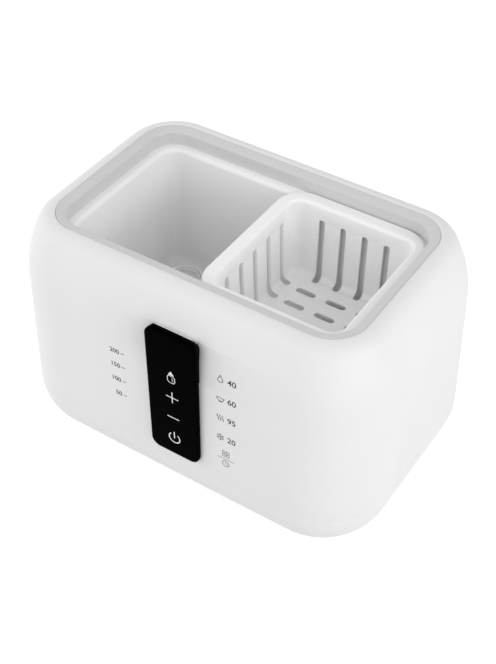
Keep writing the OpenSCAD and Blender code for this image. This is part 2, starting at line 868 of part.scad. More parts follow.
module heating_plate() {
    color(steel) rotate_extrude() polygon([
        [0, tank_z],
        [plate_r, tank_z],
        [plate_r, plate_seat_z],
        [plate_rim_r, plate_seat_z],
        [plate_rim_r, plate_seat_z - plate_t],
        [plate_r - plate_t, plate_seat_z - plate_t],
        [plate_r - plate_t, tank_z - plate_t],
        [0, tank_z - plate_t]
    ]);
}

module plate_seal() {
    color("gainsboro") translate([0, 0, plate_seat_z]) difference() {
        cylinder(r = plate_rim_r - gap, h = seal_t);
        translate([0, 0, -eps]) cylinder(r = plate_hole_r + gap, h = seal_t + 2 * eps);
    }
}

module clamp_ring() {
    lip_r = plate_r + plate_flange / 2;
    color(steel) difference() {
        rotate_extrude() polygon([
            [lip_r, plate_seat_z - plate_t],
            [plate_rim_r, plate_seat_z - plate_t],
            [plate_rim_r, clamp_z],
            [clamp_rim_r, clamp_z],
            [clamp_rim_r, clamp_under_z],
            [lip_r, clamp_under_z]
        ]);
        at_clamp_screws() translate([0, 0, clamp_under_z - eps])
            cylinder(r = screw_r + gap, h = clamp_t + 2 * eps);
    }
}

module clamp_screws() {
    color(steel) at_clamp_screws() translate([0, 0, clamp_under_z])
        screw(screw_r, clamp_t + clamp_boss_h - 2);
}

module heat_spreader() {
    color("lightgray") translate([0, 0, spreader_z]) cylinder(r = spreader_r, h = spreader_t);
}

module heating_element() {
    color("darkgray") {
        translate([0, 0, element_z]) rotate([0, 0, element_gap / 2])
            rotate_extrude(angle = 360 - element_gap) translate([element_r, 0]) circle(element_tube_r);
        for (s = [-1, 1]) translate([pin_x, s * pin_y, pin_z]) cylinder(r = pin_r, h = pin_l);
    }
}

module thermostat() {
    color("tan") {
        translate([0, 0, clamp_under_z]) cylinder(r = thermostat_r, h = spreader_z - clamp_under_z);
        translate([0, 0, clamp_under_z - thermostat_l]) cylinder(r = thermostat_neck_r, h = thermostat_l + 1);
    }
}

module thermostat_strap() {
    color(steel) translate([0, 0, clamp_under_z - strap_t]) difference() {
        translate([-strap_w / 2, -strap_l / 2, 0]) cube([strap_w, strap_l, strap_t]);
        translate([0, 0, -eps]) cylinder(r = thermostat_neck_r + gap, h = strap_t + 2 * eps);
    }
}

module thermal_fuse() {
    color("white") translate([0, (thermostat_r + plate_r) / 2, fuse_z]) rotate([90, 0, 0])
        cylinder(r = fuse_r, h = fuse_l, center = true);
}

module temperature_probe() {
    color(steel) translate([probe_at_x, probe_at_y, 0]) {
        translate([0, 0, probe_head_z - 1]) cylinder(r = probe_head_r, h = 1);
        translate([0, 0, probe_head_z - probe_l]) cylinder(r = probe_shank_r, h = probe_l);
    }
}

module probe_seal() {
    color("whitesmoke") translate([probe_at_x, probe_at_y, tank_z]) difference() {
        cylinder(r = probe_seal_r, h = probe_seal_h);
        translate([0, 0, probe_head_z - 1 - tank_z]) cylinder(r = probe_head_r + contact, h = probe_seal_h);
        translate([0, 0, -eps]) cylinder(r = probe_shank_r + gap, h = probe_seal_h);
    }
}

module probe_nut() {
    color(steel) translate([probe_at_x, probe_at_y, tank_z - tank_t - nut_h]) difference() {
        cylinder(r = nut_r, h = nut_h, $fn = 6);
        translate([0, 0, -eps]) cylinder(r = probe_shank_r + contact, h = nut_h + 2 * eps);
    }
}

module power_board() {
    color(board_green) difference() {
        translate([power_x0, -power_d / 2, power_z]) cube([power_w, power_d, board_t]);
        for (p = standoffs)
            translate([p[0], p[1], power_z - eps]) cylinder(r = screw_r + gap, h = board_t + 2 * eps);
    }
}

// Box on the power board with one corner at a place measured from its right rear corner
module on_board(size, back_x, back_y) {
    translate([power_x0 + power_w - back_x, power_d / 2 - back_y - size[1], power_top_z]) cube(size);
}

module relay() {
    color("royalblue") on_board([relay_w, relay_d, relay_h], relay_back_x, relay_back_y);
}

module transformer() {
    color("khaki")
        on_board([transformer_w, transformer_d, transformer_h], transformer_back_x, transformer_back_y);
}

module terminal_block() {
    color("seagreen") on_board([terminal_w, terminal_d, terminal_h], terminal_back_x, terminal_back_y);
}

module power_board_screws() {
    color(steel)
        for (p = standoffs)
            translate([p[0], p[1], power_top_z]) rotate([180, 0, 0]) screw(screw_r, board_t + power_rise - 1);
}

module heater_leads() {
    color("firebrick")
        for (s = [-1, 1])
            translate([pin_x, s * pin_y, power_top_z]) cylinder(r = lead_r, h = pin_z - power_top_z);
}

module control_ribbon() {
    color("gray") translate([ribbon_x0, 0, 0]) rotate([90, 0, 90]) linear_extrude(ribbon_w) polygon([
        [control_back_y, ribbon_start_z],
        [ribbon_drop_y, ribbon_start_z],
        [ribbon_drop_y, ribbon_run_z],
        [ribbon_end_y, ribbon_run_z],
        [ribbon_end_y, power_top_z],
        [ribbon_end_y - ribbon_t, power_top_z],
        [ribbon_end_y - ribbon_t, ribbon_run_z - ribbon_t],
        [ribbon_drop_y - ribbon_t, ribbon_run_z - ribbon_t],
        [ribbon_drop_y - ribbon_t, ribbon_start_z - ribbon_t],
        [control_back_y, ribbon_start_z - ribbon_t]
    ]);
}

module cord_gland() {
    color("gainsboro") at_gland() difference() {
        union() {
            cylinder(r = gland_flange_r, h = gland_flange_t);
            translate([0, 0, -gland_in]) cylinder(r = gland_body_r, h = gland_in + gland_flange_t / 2);
            translate([0, 0, -gland_in]) cylinder(r = gland_lock_r, h = gland_lock_t);
        }
        translate([0, 0, -gland_in - eps])
            cylinder(r = gland_bore_r, h = gland_in + gland_flange_t + 2 * eps);
    }
}

module foot(i) {
    edge = 0.8;
    color("silver") translate([foot_places[i][0], foot_places[i][1], 0]) {
        cylinder(r1 = foot_r - edge, r2 = foot_r, h = edge);
        translate([0, 0, edge]) cylinder(r = foot_r, h = foot_h + foot_pocket - edge);
    }
}

module base_screws() {
    color(steel) at_posts() translate([0, 0, base_seat_z]) screw(screw_r, post_screw_l);
}

module liner_screws() {
    color(steel) at_liner_screws() translate([0, 0, lip_z - tank_t]) screw(screw_r, liner_screw_l);
}

outer_casing();
base_pan();
top_ring();
tank_liner();
basket();
panel_frame();
panel_lens();
control_board();
display_module();
touch_springs();
icon_leds();
board_screws();
panel_screws();
heating_plate();
plate_seal();
clamp_ring();
clamp_screws();
heat_spreader();
heating_element();
thermostat();
thermostat_strap();
thermal_fuse();
temperature_probe();
probe_seal();
probe_nut();
power_board();
relay();
transformer();
terminal_block();
power_board_screws();
heater_leads();
control_ribbon();
cord_gland();
foot(0);  // foot_1
foot(1);  // foot_2
foot(2);  // foot_3
foot(3);  // foot_4
base_screws();
liner_screws();
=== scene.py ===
"""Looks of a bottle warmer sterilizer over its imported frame, in millimetres, and its studio in metres."""

import json
import math

import bmesh
import bpy
from mathutils import Matrix, Vector
from mathutils.geometry import tessellate_polygon

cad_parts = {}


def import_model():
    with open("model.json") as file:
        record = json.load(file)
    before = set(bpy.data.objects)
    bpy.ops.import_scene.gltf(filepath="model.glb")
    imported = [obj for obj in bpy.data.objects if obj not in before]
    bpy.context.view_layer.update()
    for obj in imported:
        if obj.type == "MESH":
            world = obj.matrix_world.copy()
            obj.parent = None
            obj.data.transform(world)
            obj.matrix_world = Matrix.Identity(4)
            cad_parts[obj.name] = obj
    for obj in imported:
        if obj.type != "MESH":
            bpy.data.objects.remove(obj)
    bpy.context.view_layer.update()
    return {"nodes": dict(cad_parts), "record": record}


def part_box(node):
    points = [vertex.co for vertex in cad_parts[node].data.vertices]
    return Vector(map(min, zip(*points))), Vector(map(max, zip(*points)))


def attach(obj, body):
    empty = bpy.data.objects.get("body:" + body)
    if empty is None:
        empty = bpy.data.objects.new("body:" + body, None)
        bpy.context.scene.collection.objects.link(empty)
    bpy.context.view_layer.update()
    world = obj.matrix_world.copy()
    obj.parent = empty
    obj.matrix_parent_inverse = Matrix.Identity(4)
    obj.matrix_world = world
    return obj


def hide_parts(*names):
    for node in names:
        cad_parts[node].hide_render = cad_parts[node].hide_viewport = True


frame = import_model()

MM = 0.001
QUARTER = math.pi / 2
MERGE, SIGN_MERGE, SLIVER = 1e-4, 1e-5, 1e-3
SHARP, EASE_ANGLE = math.radians(35), math.radians(50)

# Steps of rounded forms
EASE_STEPS, CORNER_STEPS, INNER_STEPS, BASE_STEPS, FOOT_STEPS, LIP_STEPS = 4, 16, 10, 28, 14, 8
HOLE_STEPS, WELL_STEPS, SLOT_STEPS, PLATE_STEPS = 12, 32, 20, 96
CAP_STEPS, BOW_STEPS = 6, 24

# Body: corner centres in plan, heights over the table, radii from the corner centres
MID_X, MID_Y = 72.0, 35.5
CORNER_R = 38.0
LEAN = math.radians(1.5)
SHELL = 2.6
FOOT_H = 2.5
TOP_Z = 146.5
CROWN_R, TIP_R = 75.0, 11.0
CROWN_TURN, TIP_TURN = math.radians(27), math.radians(80)
BASE_R = 31.0
JOINT_RISE, JOINT_EASE = 0.5, 0.4
WALL_LEVELS = (50, 65, 80, 95)
RIM_W, RIM_FALL, RIM_T, RIM_UNDER = 5.8, 1.4, 3.0, 2.2
EDGE_R, EDGE_DROP, TIP_DROP = 0.6, 0.45, 0.05
RING_FALL, RING_OUT_R, RING_IN_R = 1.3, 0.2, 1.0
STEP_H, STEP_T = 8.6, 1.8
CONTACT, GAP = 0.1, 0.3
CUT_EASE = 0.25
BODY_FLOOR = [(MID_X, MID_Y), (-MID_X, MID_Y), (-MID_X, -MID_Y), (MID_X, -MID_Y)]

CROWN_IN = CROWN_R * math.cos(LEAN) - (CROWN_R - TIP_R) * math.cos(CROWN_TURN)
CROWN_H = (CROWN_R - TIP_R) * math.sin(CROWN_TURN) + TIP_R - CROWN_R * math.sin(LEAN)
SHOULDER_Z = TOP_Z - CROWN_H
CROWN_X = CORNER_R - CROWN_R * math.cos(LEAN)
CROWN_Z = SHOULDER_Z - CROWN_R * math.sin(LEAN)
RIM_R = CORNER_R - CROWN_IN
STEP_R = RIM_R - RIM_W
SEAT_Z = TOP_Z - RIM_T
LIP_Z = TOP_Z - RIM_FALL - STEP_H

# Screws of the base and gland of the cord
SCREW_HEAD_R, SCREW_HEAD_H, SCREW_WELL_R = 3.45, 2.1, 3.75
GLAND_X, GLAND_RISE, GLAND_HOLE_R, GLAND_CUT = -55.0, 16.0, 6.7, 8.0

# Tank
LEDGE_W, FLANGE_W = 4.8, 10.0
TANK_R = STEP_R - LEDGE_W
TANK_DEPTH, TANK_LEAN, TANK_T, TANK_LIP = 79.0, math.radians(2), 2.2, 3.0
TANK_Z = LIP_Z - TANK_DEPTH
FLANGE_R = STEP_R + FLANGE_W
PLATE_R = 27.0
PROBE_X, PROBE_Y = -60.5, 26.2
COLLAR_R, COLLAR_T, COLLAR_H, COLLAR_EASE = 11.4, 2.3, 4.2, 0.55

# Basket
BASKET_X, BASKET_MID_X, BASKET_MID_Y = 42.2, 29.9, 33.9
BASKET_LEFT, BASKET_RIGHT, BASKET_SIDE = -1.7, 85.6, 49.1
BASKET_LEFT_R, BASKET_RIGHT_R = 16.0, 17.0
BASKET_R, BASKET_DEPTH, BASKET_LEAN, BASKET_T = 7.0, 48.5, math.radians(1.6), 1.6
BASKET_RIM_T, BASKET_LIP, BASKET_FLOOR_R = 1.6, 2.0, 3.2
BASKET_EDGE_R, BASKET_UNDER = 0.9, 0.3
BASKET_TOP = LIP_Z + GAP + BASKET_RIM_T
BASKET_Z = BASKET_TOP - BASKET_DEPTH

# Slots of the basket: sizes and places, reach of their cutters, how many on a side, the front and the floor
SLOT_W, SLOT_DROP, SLOT_FOOT, SLOT_PITCH = 3.9, 9.0, 5.5, 13.2
SLOT_OVER, SLOT_REACH, SLOT_EASE = 4.0, 9.0, 0.35
SIDE_SLOTS, FRONT_SLOTS = 5, 4
FLOOR_SLOT, FLOOR_PITCH, FLOOR_ROW = 12.4, 19.0, 12.4
FLOOR_COLUMNS, FLOOR_ROWS = 3, 5

# Panel
PANEL_X, PANEL_W, PANEL_H, PANEL_R = 5.8, 30.5, 82.5, 5.5
PANEL_RISE = 16.6
PANEL_TOP = SHOULDER_Z + PANEL_RISE
PANEL_Z = PANEL_TOP - PANEL_H / 2
LENS_Y, LENS_T, LENS_RISE, FRAME_T = -77.9, 2.2, 4.0, 2.0
LENS_BACK_R, LENS_EDGE_R, LENS_FLAT = 0.2, 0.45, 2.0
FRAME_Y = LENS_Y + LENS_T
DRAFT_T, DRAFT_IN, BROW_T, END_DRAFT = 4.3, 1.5, 0.7, 1.2
SHELF_T, SHELF_IN, SHELF_RISE, BROW_RISE = 2.0, 0.9, LENS_RISE + 0.3, 1.4
OPENING_T = 36.0

# Depth, inset and rise of the surround's top, from behind the face to the end of its slope
SURROUND = [
    (FRAME_Y, 0.6, LENS_RISE),
    (FRAME_Y + 0.3, 0.4, LENS_RISE + 0.2),
    (FRAME_Y + SHELF_T, SHELF_IN, SHELF_RISE),
    (FRAME_Y + DRAFT_T, DRAFT_IN, BROW_RISE),
]

# Radius, height and rounding at each corner of the turned pieces
FOOT_PROFILE = [(0, 0.5), (5.2, 0.5), (5.6, 0), (8, 0, 1.0), (8, 3.7), (0, 3.7)]
GLAND_PROFILE = [
    (3.6, -4.6), (3.6, 2.5, 0.5), (9, 2.5, 1.1), (9, 0),
    (6.4, 0), (6.4, -2.6), (8, -2.6), (8, -4.6),
]
PLATE_PROFILE = [
    (0, 0), (20.5, 0, 0.5), (21.2, -0.5, 0.4), (22.8, -0.5, 0.4), (23.5, 0, 0.5), (26.8, 0, 0.3),
    (27, -3.8), (33, -3.8), (33, -4.8), (26, -4.8), (26, -1.2), (0, -1.2),
]
SEAL_PROFILE = [(4.3, 0), (9, 0), (9, 4, 1.2), (7.5, 4, 0.5), (7.5, 1.8), (4.3, 1.8)]
COLLAR_PROFILE = [
    (COLLAR_R - COLLAR_T, 0), (COLLAR_R, 0),
    (COLLAR_R, COLLAR_H, COLLAR_EASE), (COLLAR_R - COLLAR_T, COLLAR_H, COLLAR_EASE),
]
PROBE_PROFILE = [(0, 3.1), (4, 3.0), (7.4, 2.6, 0.4), (7.4, 1.8), (4, 1.8), (4, -15), (0, -15)]

# Signs: places on the front, sizes of the numbers, widths of the strokes, lift of a print over its surface
KEY_X = PANEL_X + 0.1
BOTTLE_Z, PLUS_Z, MINUS_Z, POWER_Z = 100.0, 85.5, 70.6, 55.1
PLUS_ARM, PLUS_HALF_W, MINUS_ARM, MINUS_W = 3.9, 0.3, 3.5, 0.6
LEVELS = (("200", 95.2), ("150", 85.4), ("100", 75.2), ("50", 65.0))
LEVEL_X, LEVEL_SIZE, DASH_FROM, DASH_TO, DASH_W = -30.4, 2.9, -29.2, -27.2, 0.45
MODE_SIGN_X, MODE_TEXT_X, MODE_SIZE = 33.0, 42.4, 3.6
TIMER_X, GRID_Z, RULE_Z, CLOCK_Z = 36.4, 58.2, 54.4, 51.0
RULE_FROM, RULE_TO, RULE_W = 31.4, 41.6, 0.3
STROKE, FINE_STROKE = 0.42, 0.34
DIGIT_SCALE, DIGIT_WEIGHT = 1.45, 0.02
LENS_PRINT, FRONT_PRINT = 0.03, 0.04

# Finishes: features per metre of the clouds and of the uneven gloss, spread of the gloss
CLOUD_SCALE, GLOSS_SCALE, GLOSS_SPREAD = 22, 90, 0.05


def wall_x(z):
    """Outer wall at a height, from the corner centre"""
    return CORNER_R + (SHOULDER_Z - z) * math.tan(LEAN)


def skin_x(z):
    """Outer surface at a height, wall or crown"""
    return wall_x(z) if z < SHOULDER_Z else CROWN_X + math.sqrt(CROWN_R**2 - (z - CROWN_Z) ** 2)


BASE_TAN_Z = FOOT_H + BASE_R * (1 + math.sin(LEAN))
BASE_X = wall_x(BASE_TAN_Z) - BASE_R * math.cos(LEAN)
JOINT_Z = BASE_TAN_Z + JOINT_RISE


# Plane outlines


def arc(cx, cy, r, start, end, steps):
    """Points on an arc, angles in radians"""
    return [
        (cx + r * math.cos(a), cy + r * math.sin(a))
        for a in (start + (end - start) * i / steps for i in range(steps + 1))
    ]


def circle(r, cx=0.0, cy=0.0, steps=64):
    return arc(cx, cy, r, 0, 2 * math.pi, steps)[:-1]


def eased(points, closed=True):
    """Outline whose corners (x, y, radius) are rounded; a corner without radius stays"""
    out = []
    n = len(points)
    for i, p in enumerate(points):
        r = p[2] if len(p) > 2 else 0
        if r == 0 or (not closed and i in (0, n - 1)):
            out.append((p[0], p[1]))
            continue
        here = Vector(p[:2])
        back = (Vector(points[i - 1][:2]) - here).normalized()
        ahead = (Vector(points[(i + 1) % n][:2]) - here).normalized()
        half = back.angle(ahead) / 2
        centre = here + (back + ahead).normalized() * (r / math.sin(half))
        a = here + back * (r / math.tan(half)) - centre
        b = here + ahead * (r / math.tan(half)) - centre
        turn = a.angle_signed(b)
        for k in range(EASE_STEPS + 1):
            v = a.copy()
            v.rotate(Matrix.Rotation(-turn * k / EASE_STEPS, 2))
            out.append(tuple(centre + v))
    return out


def rounded_rect(w, h, r, cx, cy, steps):
    """Counter-clockwise outline of a rounded rectangle"""
    out = []
    for k, (sx, sy) in enumerate(((1, 1), (-1, 1), (-1, -1), (1, -1))):
        x, y = cx + sx * (w / 2 - r), cy + sy * (h / 2 - r)
        out += arc(x, y, r, k * QUARTER, (k + 1) * QUARTER, steps)
    return out


def stations(mid_x, mid_y, cx=0.0, cy=0.0, steps=24):
    """Corner centre and outward direction at each step round a rounded rectangle"""
    out = []
    for k, (sx, sy) in enumerate(((1, 1), (-1, 1), (-1, -1), (1, -1))):
        for i in range(steps + 1):
            a = (k + i / steps) * QUARTER
            out.append((cx + sx * mid_x, cy + sy * mid_y, math.cos(a), math.sin(a)))
    return out


def ring_loop(path, r):
    """Plane loop of a path at a radius, without repeated points"""
    out = []
    for px, py, nx, ny in path:
        p = (px + r * nx, py + r * ny)
        if not out or math.dist(p, out[-1]) > MERGE:
            out.append(p)
    if math.dist(out[0], out[-1]) < MERGE:
        out.pop()
    return out


# Meshes


def placed(name, data):
    """New object in the scene"""
    obj = bpy.data.objects.new(name, data)
    bpy.context.scene.collection.objects.link(obj)
    return obj


def mesh_of(bm, name):
    """New mesh of one that was drawn, which is used up"""
    mesh = bpy.data.meshes.new(name)
    bm.to_mesh(mesh)
    bm.free()
    return mesh


def smooth(mesh):
    """Smooth shading up to the sharp angle"""
    mesh.shade_smooth()
    mesh.set_sharp_from_angle(angle=SHARP)


def keep(bm, name):
    """New object of a mesh drawn in millimetres"""
    bmesh.ops.remove_doubles(bm, verts=bm.verts, dist=MERGE)
    bmesh.ops.recalc_face_normals(bm, faces=bm.faces)
    bmesh.ops.scale(bm, vec=(MM, MM, MM), verts=bm.verts)
    mesh = mesh_of(bm, name)
    smooth(mesh)
    return placed(name, mesh)


def evaluated_mesh(obj):
    """Mesh of an object with its modifiers or its text carried out"""
    return bpy.data.meshes.new_from_object(obj.evaluated_get(bpy.context.evaluated_depsgraph_get()))


def at_height(z):
    """Places plane points at a height"""
    return lambda x, y: (x, y, z)


def sweep(bm, section, path, closed=True):
    """Carries a section (radius, height) round a path"""
    rows = [[bm.verts.new((px + r * nx, py + r * ny, z)) for r, z in section] for px, py, nx, ny in path]
    last = len(section) if closed else len(section) - 1
    for i, row in enumerate(rows):
        ahead = rows[(i + 1) % len(rows)]
        for j in range(last):
            k = (j + 1) % len(section)
            bm.faces.new((row[j], ahead[j], ahead[k], row[k]))


def fill(bm, loops, place):
    """Flat face between plane loops, the first one outermost; place puts a plane point in space"""
    flat = [[Vector((x, y, 0)) for x, y in loop] for loop in loops]
    verts = [bm.verts.new(place(p.x, p.y)) for loop in flat for p in loop]
    for tri in tessellate_polygon(flat):
        if len(set(tri)) == 3:
            bm.faces.new([verts[i] for i in tri])


def loft(bm, loops, closed=False):
    """Faces between loops of as many points each, and the rows of vertices"""
    rows = [[bm.verts.new(p) for p in loop] for loop in loops]
    for row, ahead in zip(rows, rows[1:] + rows[:1] if closed else rows[1:]):
        for i in range(len(row)):
            k = (i + 1) % len(row)
            bm.faces.new((row[i], row[k], ahead[k], ahead[i]))
    return rows


def capped(bm, loops):
    """Loft that is closed at both ends"""
    rows = loft(bm, loops)
    bm.faces.new(rows[0])
    bm.faces.new(rows[-1])


def prism(bm, outline, place, depth):
    """Closed prism over a plane outline; place(x, y, t) gives a point at a distance t along its depth"""
    capped(bm, [[place(x, y, t) for x, y in outline] for t in (0, depth)])


def lathe(name, profile, place, steps=64):
    """Turned piece of a closed profile (radius, height, rounding)"""
    bm = bmesh.new()
    sweep(bm, eased(profile), stations(0, 0, steps=steps // 4))
    bmesh.ops.transform(bm, matrix=place, verts=bm.verts)
    return keep(bm, name)


def cut(obj, cutters, ease):
    """Takes cutters out of a piece, eases the edges that they leave, and removes the cutters"""
    for c in cutters:
        m = obj.modifiers.new("cut", "BOOLEAN")
        m.operation, m.solver, m.object = "DIFFERENCE", "EXACT", c
    m = obj.modifiers.new("ease", "BEVEL")
    m.limit_method, m.angle_limit = "ANGLE", EASE_ANGLE
    m.width, m.segments = ease * MM, 2
    mesh = evaluated_mesh(obj)
    obj.modifiers.clear()
    old, obj.data = obj.data, mesh
    name = old.name
    bpy.data.meshes.remove(old)
    mesh.name = name
    smooth(mesh)
    for c in cutters:
        bpy.data.meshes.remove(c.data)
    return obj


# Sections


def casing_section():
    """Wall, crown and tip of the casing, outside and back down inside"""
    outer = [(wall_x(JOINT_Z), JOINT_Z, JOINT_EASE)]
    outer += [(wall_x(z), z) for z in WALL_LEVELS]
    outer += arc(CROWN_X, CROWN_Z, CROWN_R, LEAN, CROWN_TURN, CORNER_STEPS)
    outer += arc(RIM_R, TOP_Z - TIP_R, TIP_R, CROWN_TURN, TIP_TURN, CORNER_STEPS)[1:]
    outer += [(RIM_R, TOP_Z - TIP_DROP, EDGE_R), (RIM_R, SEAT_Z - RIM_UNDER)]
    inner = arc(RIM_R, TOP_Z - TIP_R, TIP_R - SHELL, TIP_TURN, CROWN_TURN, INNER_STEPS)
    inner += arc(CROWN_X, CROWN_Z, CROWN_R - SHELL, CROWN_TURN, LEAN, INNER_STEPS)[1:]
    inner += [(wall_x(JOINT_Z) - SHELL, JOINT_Z)]
    return eased(outer + inner)


def base_section():
    """Rounded foot of the body up to its joint with the casing, and back inside"""
    outer = [(0, FOOT_H)] + arc(BASE_X, FOOT_H + BASE_R, BASE_R, -QUARTER, LEAN, BASE_STEPS)
    outer += [(wall_x(JOINT_Z), JOINT_Z, JOINT_EASE), (wall_x(JOINT_Z) - SHELL, JOINT_Z)]
    inner = arc(BASE_X, FOOT_H + BASE_R, BASE_R - SHELL, LEAN, -QUARTER, FOOT_STEPS)
    return eased(outer + inner + [(0, FOOT_H + SHELL)], closed=False)


def ring_section():
    """Ring that falls a little inwards and steps down to the tank's lip"""
    return eased(
        [
            (RIM_R - CONTACT, TOP_Z - EDGE_DROP, RING_OUT_R),
            (STEP_R, TOP_Z - EDGE_DROP - RING_FALL, RING_IN_R),
            (STEP_R, LIP_Z),
            (STEP_R + STEP_T, LIP_Z),
            (STEP_R + STEP_T, SEAT_Z),
            (RIM_R - CONTACT, SEAT_Z),
        ]
    )


def well_round(mouth_r, depth, lean):
    """Radius of a floor corner that runs smoothly into a leaning wall"""
    return (mouth_r * math.cos(lean) - depth * math.sin(lean)) / (1 - math.sin(lean))


def well_foot(mouth_r, depth, lean, r):
    """Centre of a floor corner of some radius under a leaning wall, from the corner centre in plan"""
    return mouth_r - (depth - r) * math.tan(lean) - r / math.cos(lean)


def well_inside(mouth_r, top, depth, lean, lip, r):
    """From over the floor's corner centre up a leaning wall to the end of its rounded lip"""
    floor_z = top - depth
    foot_x = well_foot(mouth_r, depth, lean, r)
    lip_x = mouth_r + lip * (1 - math.sin(lean)) / math.cos(lean)
    corner = arc(foot_x, floor_z + r, r, -QUARTER, -lean, FOOT_STEPS)
    flat = [(0, floor_z)] if foot_x > MERGE else []
    return flat + corner + arc(lip_x, top - lip, lip, math.pi - lean, QUARTER, LIP_STEPS)


def well_outside(mouth_r, top, depth, lean, wall, under, r):
    """From the underside of a flange down the outer face of a leaning wall to its floor"""
    floor_z = top - depth
    foot_x = well_foot(mouth_r, depth, lean, r)
    out_x = mouth_r + wall / math.cos(lean) - (top - under) * math.tan(lean)
    corner = arc(foot_x, floor_z + r, r + wall, -lean, -QUARTER, FOOT_STEPS)
    flat = [(0, floor_z - wall)] if foot_x > MERGE else []
    return [(out_x, under)] + corner + flat


# Shells


def gland_place():
    """Frame of the cord gland: its origin on the rear wall, its axis pointing out"""
    z = JOINT_Z + GLAND_RISE
    turn = Matrix.Rotation(LEAN - QUARTER, 4, "X")
    return Matrix.Translation((GLAND_X, MID_Y + wall_x(z), z)) @ turn


def outer_shell():
    """Casing with the panel's opening and the gland's hole"""
    bm = bmesh.new()
    sweep(bm, casing_section(), stations(MID_X, MID_Y))
    body = keep(bm, "casing_shell")
    opening = bmesh.new()
    depths = SURROUND[2:] + [(FRAME_Y + OPENING_T, DRAFT_IN, BROW_RISE)]
    capped(opening, [frame_loop(y, inset - GAP, rise) for y, inset, rise in depths])
    hole = bmesh.new()
    section = [(0, -GLAND_CUT), (GLAND_HOLE_R, -GLAND_CUT), (GLAND_HOLE_R, GLAND_CUT), (0, GLAND_CUT)]
    sweep(hole, section, stations(0, 0, steps=HOLE_STEPS), closed=False)
    bmesh.ops.transform(hole, matrix=gland_place(), verts=hole.verts)
    return cut(body, [keep(opening, "opening"), keep(hole, "gland_hole")], CUT_EASE)


def base_shell():
    """Base with the wells of its screws"""
    bm = bmesh.new()
    sweep(bm, base_section(), stations(MID_X, MID_Y), closed=False)
    for z in (FOOT_H, FOOT_H + SHELL):
        fill(bm, [BODY_FLOOR], at_height(z))
    body = keep(bm, "base_shell")
    lo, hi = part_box("base_screws")
    wells = bmesh.new()
    for x in (lo.x / MM + SCREW_HEAD_R, hi.x / MM - SCREW_HEAD_R):
        for y in (lo.y / MM + SCREW_HEAD_R, hi.y / MM - SCREW_HEAD_R):
            outline = circle(SCREW_WELL_R, x, y, WELL_STEPS)
            prism(wells, outline, lambda u, v, t: (u, v, t), lo.z / MM + SCREW_HEAD_H)
    return cut(body, [keep(wells, "screw_wells")], CUT_EASE)


def top_ring():
    bm = bmesh.new()
    sweep(bm, ring_section(), stations(MID_X, MID_Y))
    return keep(bm, "step_ring")


def tank():
    """Tank with its lip, its flange and the heating plate's hole"""
    bm = bmesh.new()
    foot_r = well_round(TANK_R, TANK_DEPTH, TANK_LEAN)
    section = well_inside(TANK_R, LIP_Z, TANK_DEPTH, TANK_LEAN, TANK_LIP, foot_r)
    section += [(FLANGE_R, LIP_Z), (FLANGE_R, LIP_Z - TANK_T)]
    section += well_outside(TANK_R, LIP_Z, TANK_DEPTH, TANK_LEAN, TANK_T, LIP_Z - TANK_T, foot_r)
    sweep(bm, section, stations(MID_X, MID_Y), closed=False)
    hole = circle(PLATE_R + GAP)
    for z in (TANK_Z, TANK_Z - TANK_T):
        fill(bm, [BODY_FLOOR, hole], at_height(z))
    loft(bm, [[(x, y, z) for x, y in hole] for z in (TANK_Z - TANK_T, TANK_Z)])
    return keep(bm, "tank_shell")


def basket_outline(inset):
    """Outline of the basket's rim, its left corners tighter than its right ones"""
    out = []
    corners = (
        (BASKET_RIGHT, BASKET_SIDE, BASKET_RIGHT_R),
        (BASKET_LEFT, BASKET_SIDE, BASKET_LEFT_R),
        (BASKET_LEFT, -BASKET_SIDE, BASKET_LEFT_R),
        (BASKET_RIGHT, -BASKET_SIDE, BASKET_RIGHT_R),
    )
    for k, (x, y, r) in enumerate(corners):
        cx = x - r if x == BASKET_RIGHT else x + r
        cy = y - r if y > 0 else y + r
        out += arc(cx, cy, r - inset, k * QUARTER, (k + 1) * QUARTER, CORNER_STEPS)
    return out


def basket():
    """Basket whose walls lean inwards under a flat rim, with its slots"""
    bm = bmesh.new()
    path = stations(BASKET_MID_X, BASKET_MID_Y, BASKET_X)
    shape = (BASKET_R, BASKET_TOP, BASKET_DEPTH, BASKET_LEAN)
    under = BASKET_TOP - BASKET_RIM_T
    inside = well_inside(*shape, BASKET_LIP, BASKET_FLOOR_R)
    outside = well_outside(*shape, BASKET_T, under, BASKET_FLOOR_R)
    sweep(bm, inside, path, closed=False)
    sweep(bm, outside, path, closed=False)
    bottom = ring_loop(stations(BASKET_MID_X, BASKET_MID_Y, BASKET_X, steps=1), 0)
    fill(bm, [bottom], at_height(BASKET_Z))
    fill(bm, [bottom], at_height(BASKET_Z - BASKET_T))

    r = BASKET_EDGE_R
    edge = [(r - r * math.cos(a), r - r * math.sin(a)) for a in (0, 0.4, 0.8, 1.2, QUARTER)]
    levels = [(BASKET_UNDER, under), (0, under + BASKET_UNDER)] + [(i, BASKET_TOP - d) for i, d in edge]
    loft(bm, [[(x, y, z) for x, y in basket_outline(i)] for i, z in levels])
    fill(bm, [basket_outline(r), ring_loop(path, inside[-1][0])], at_height(BASKET_TOP))
    fill(bm, [basket_outline(BASKET_UNDER), ring_loop(path, outside[0][0])], at_height(under))
    return cut(keep(bm, "basket_shell"), basket_slots(), SLOT_EASE)


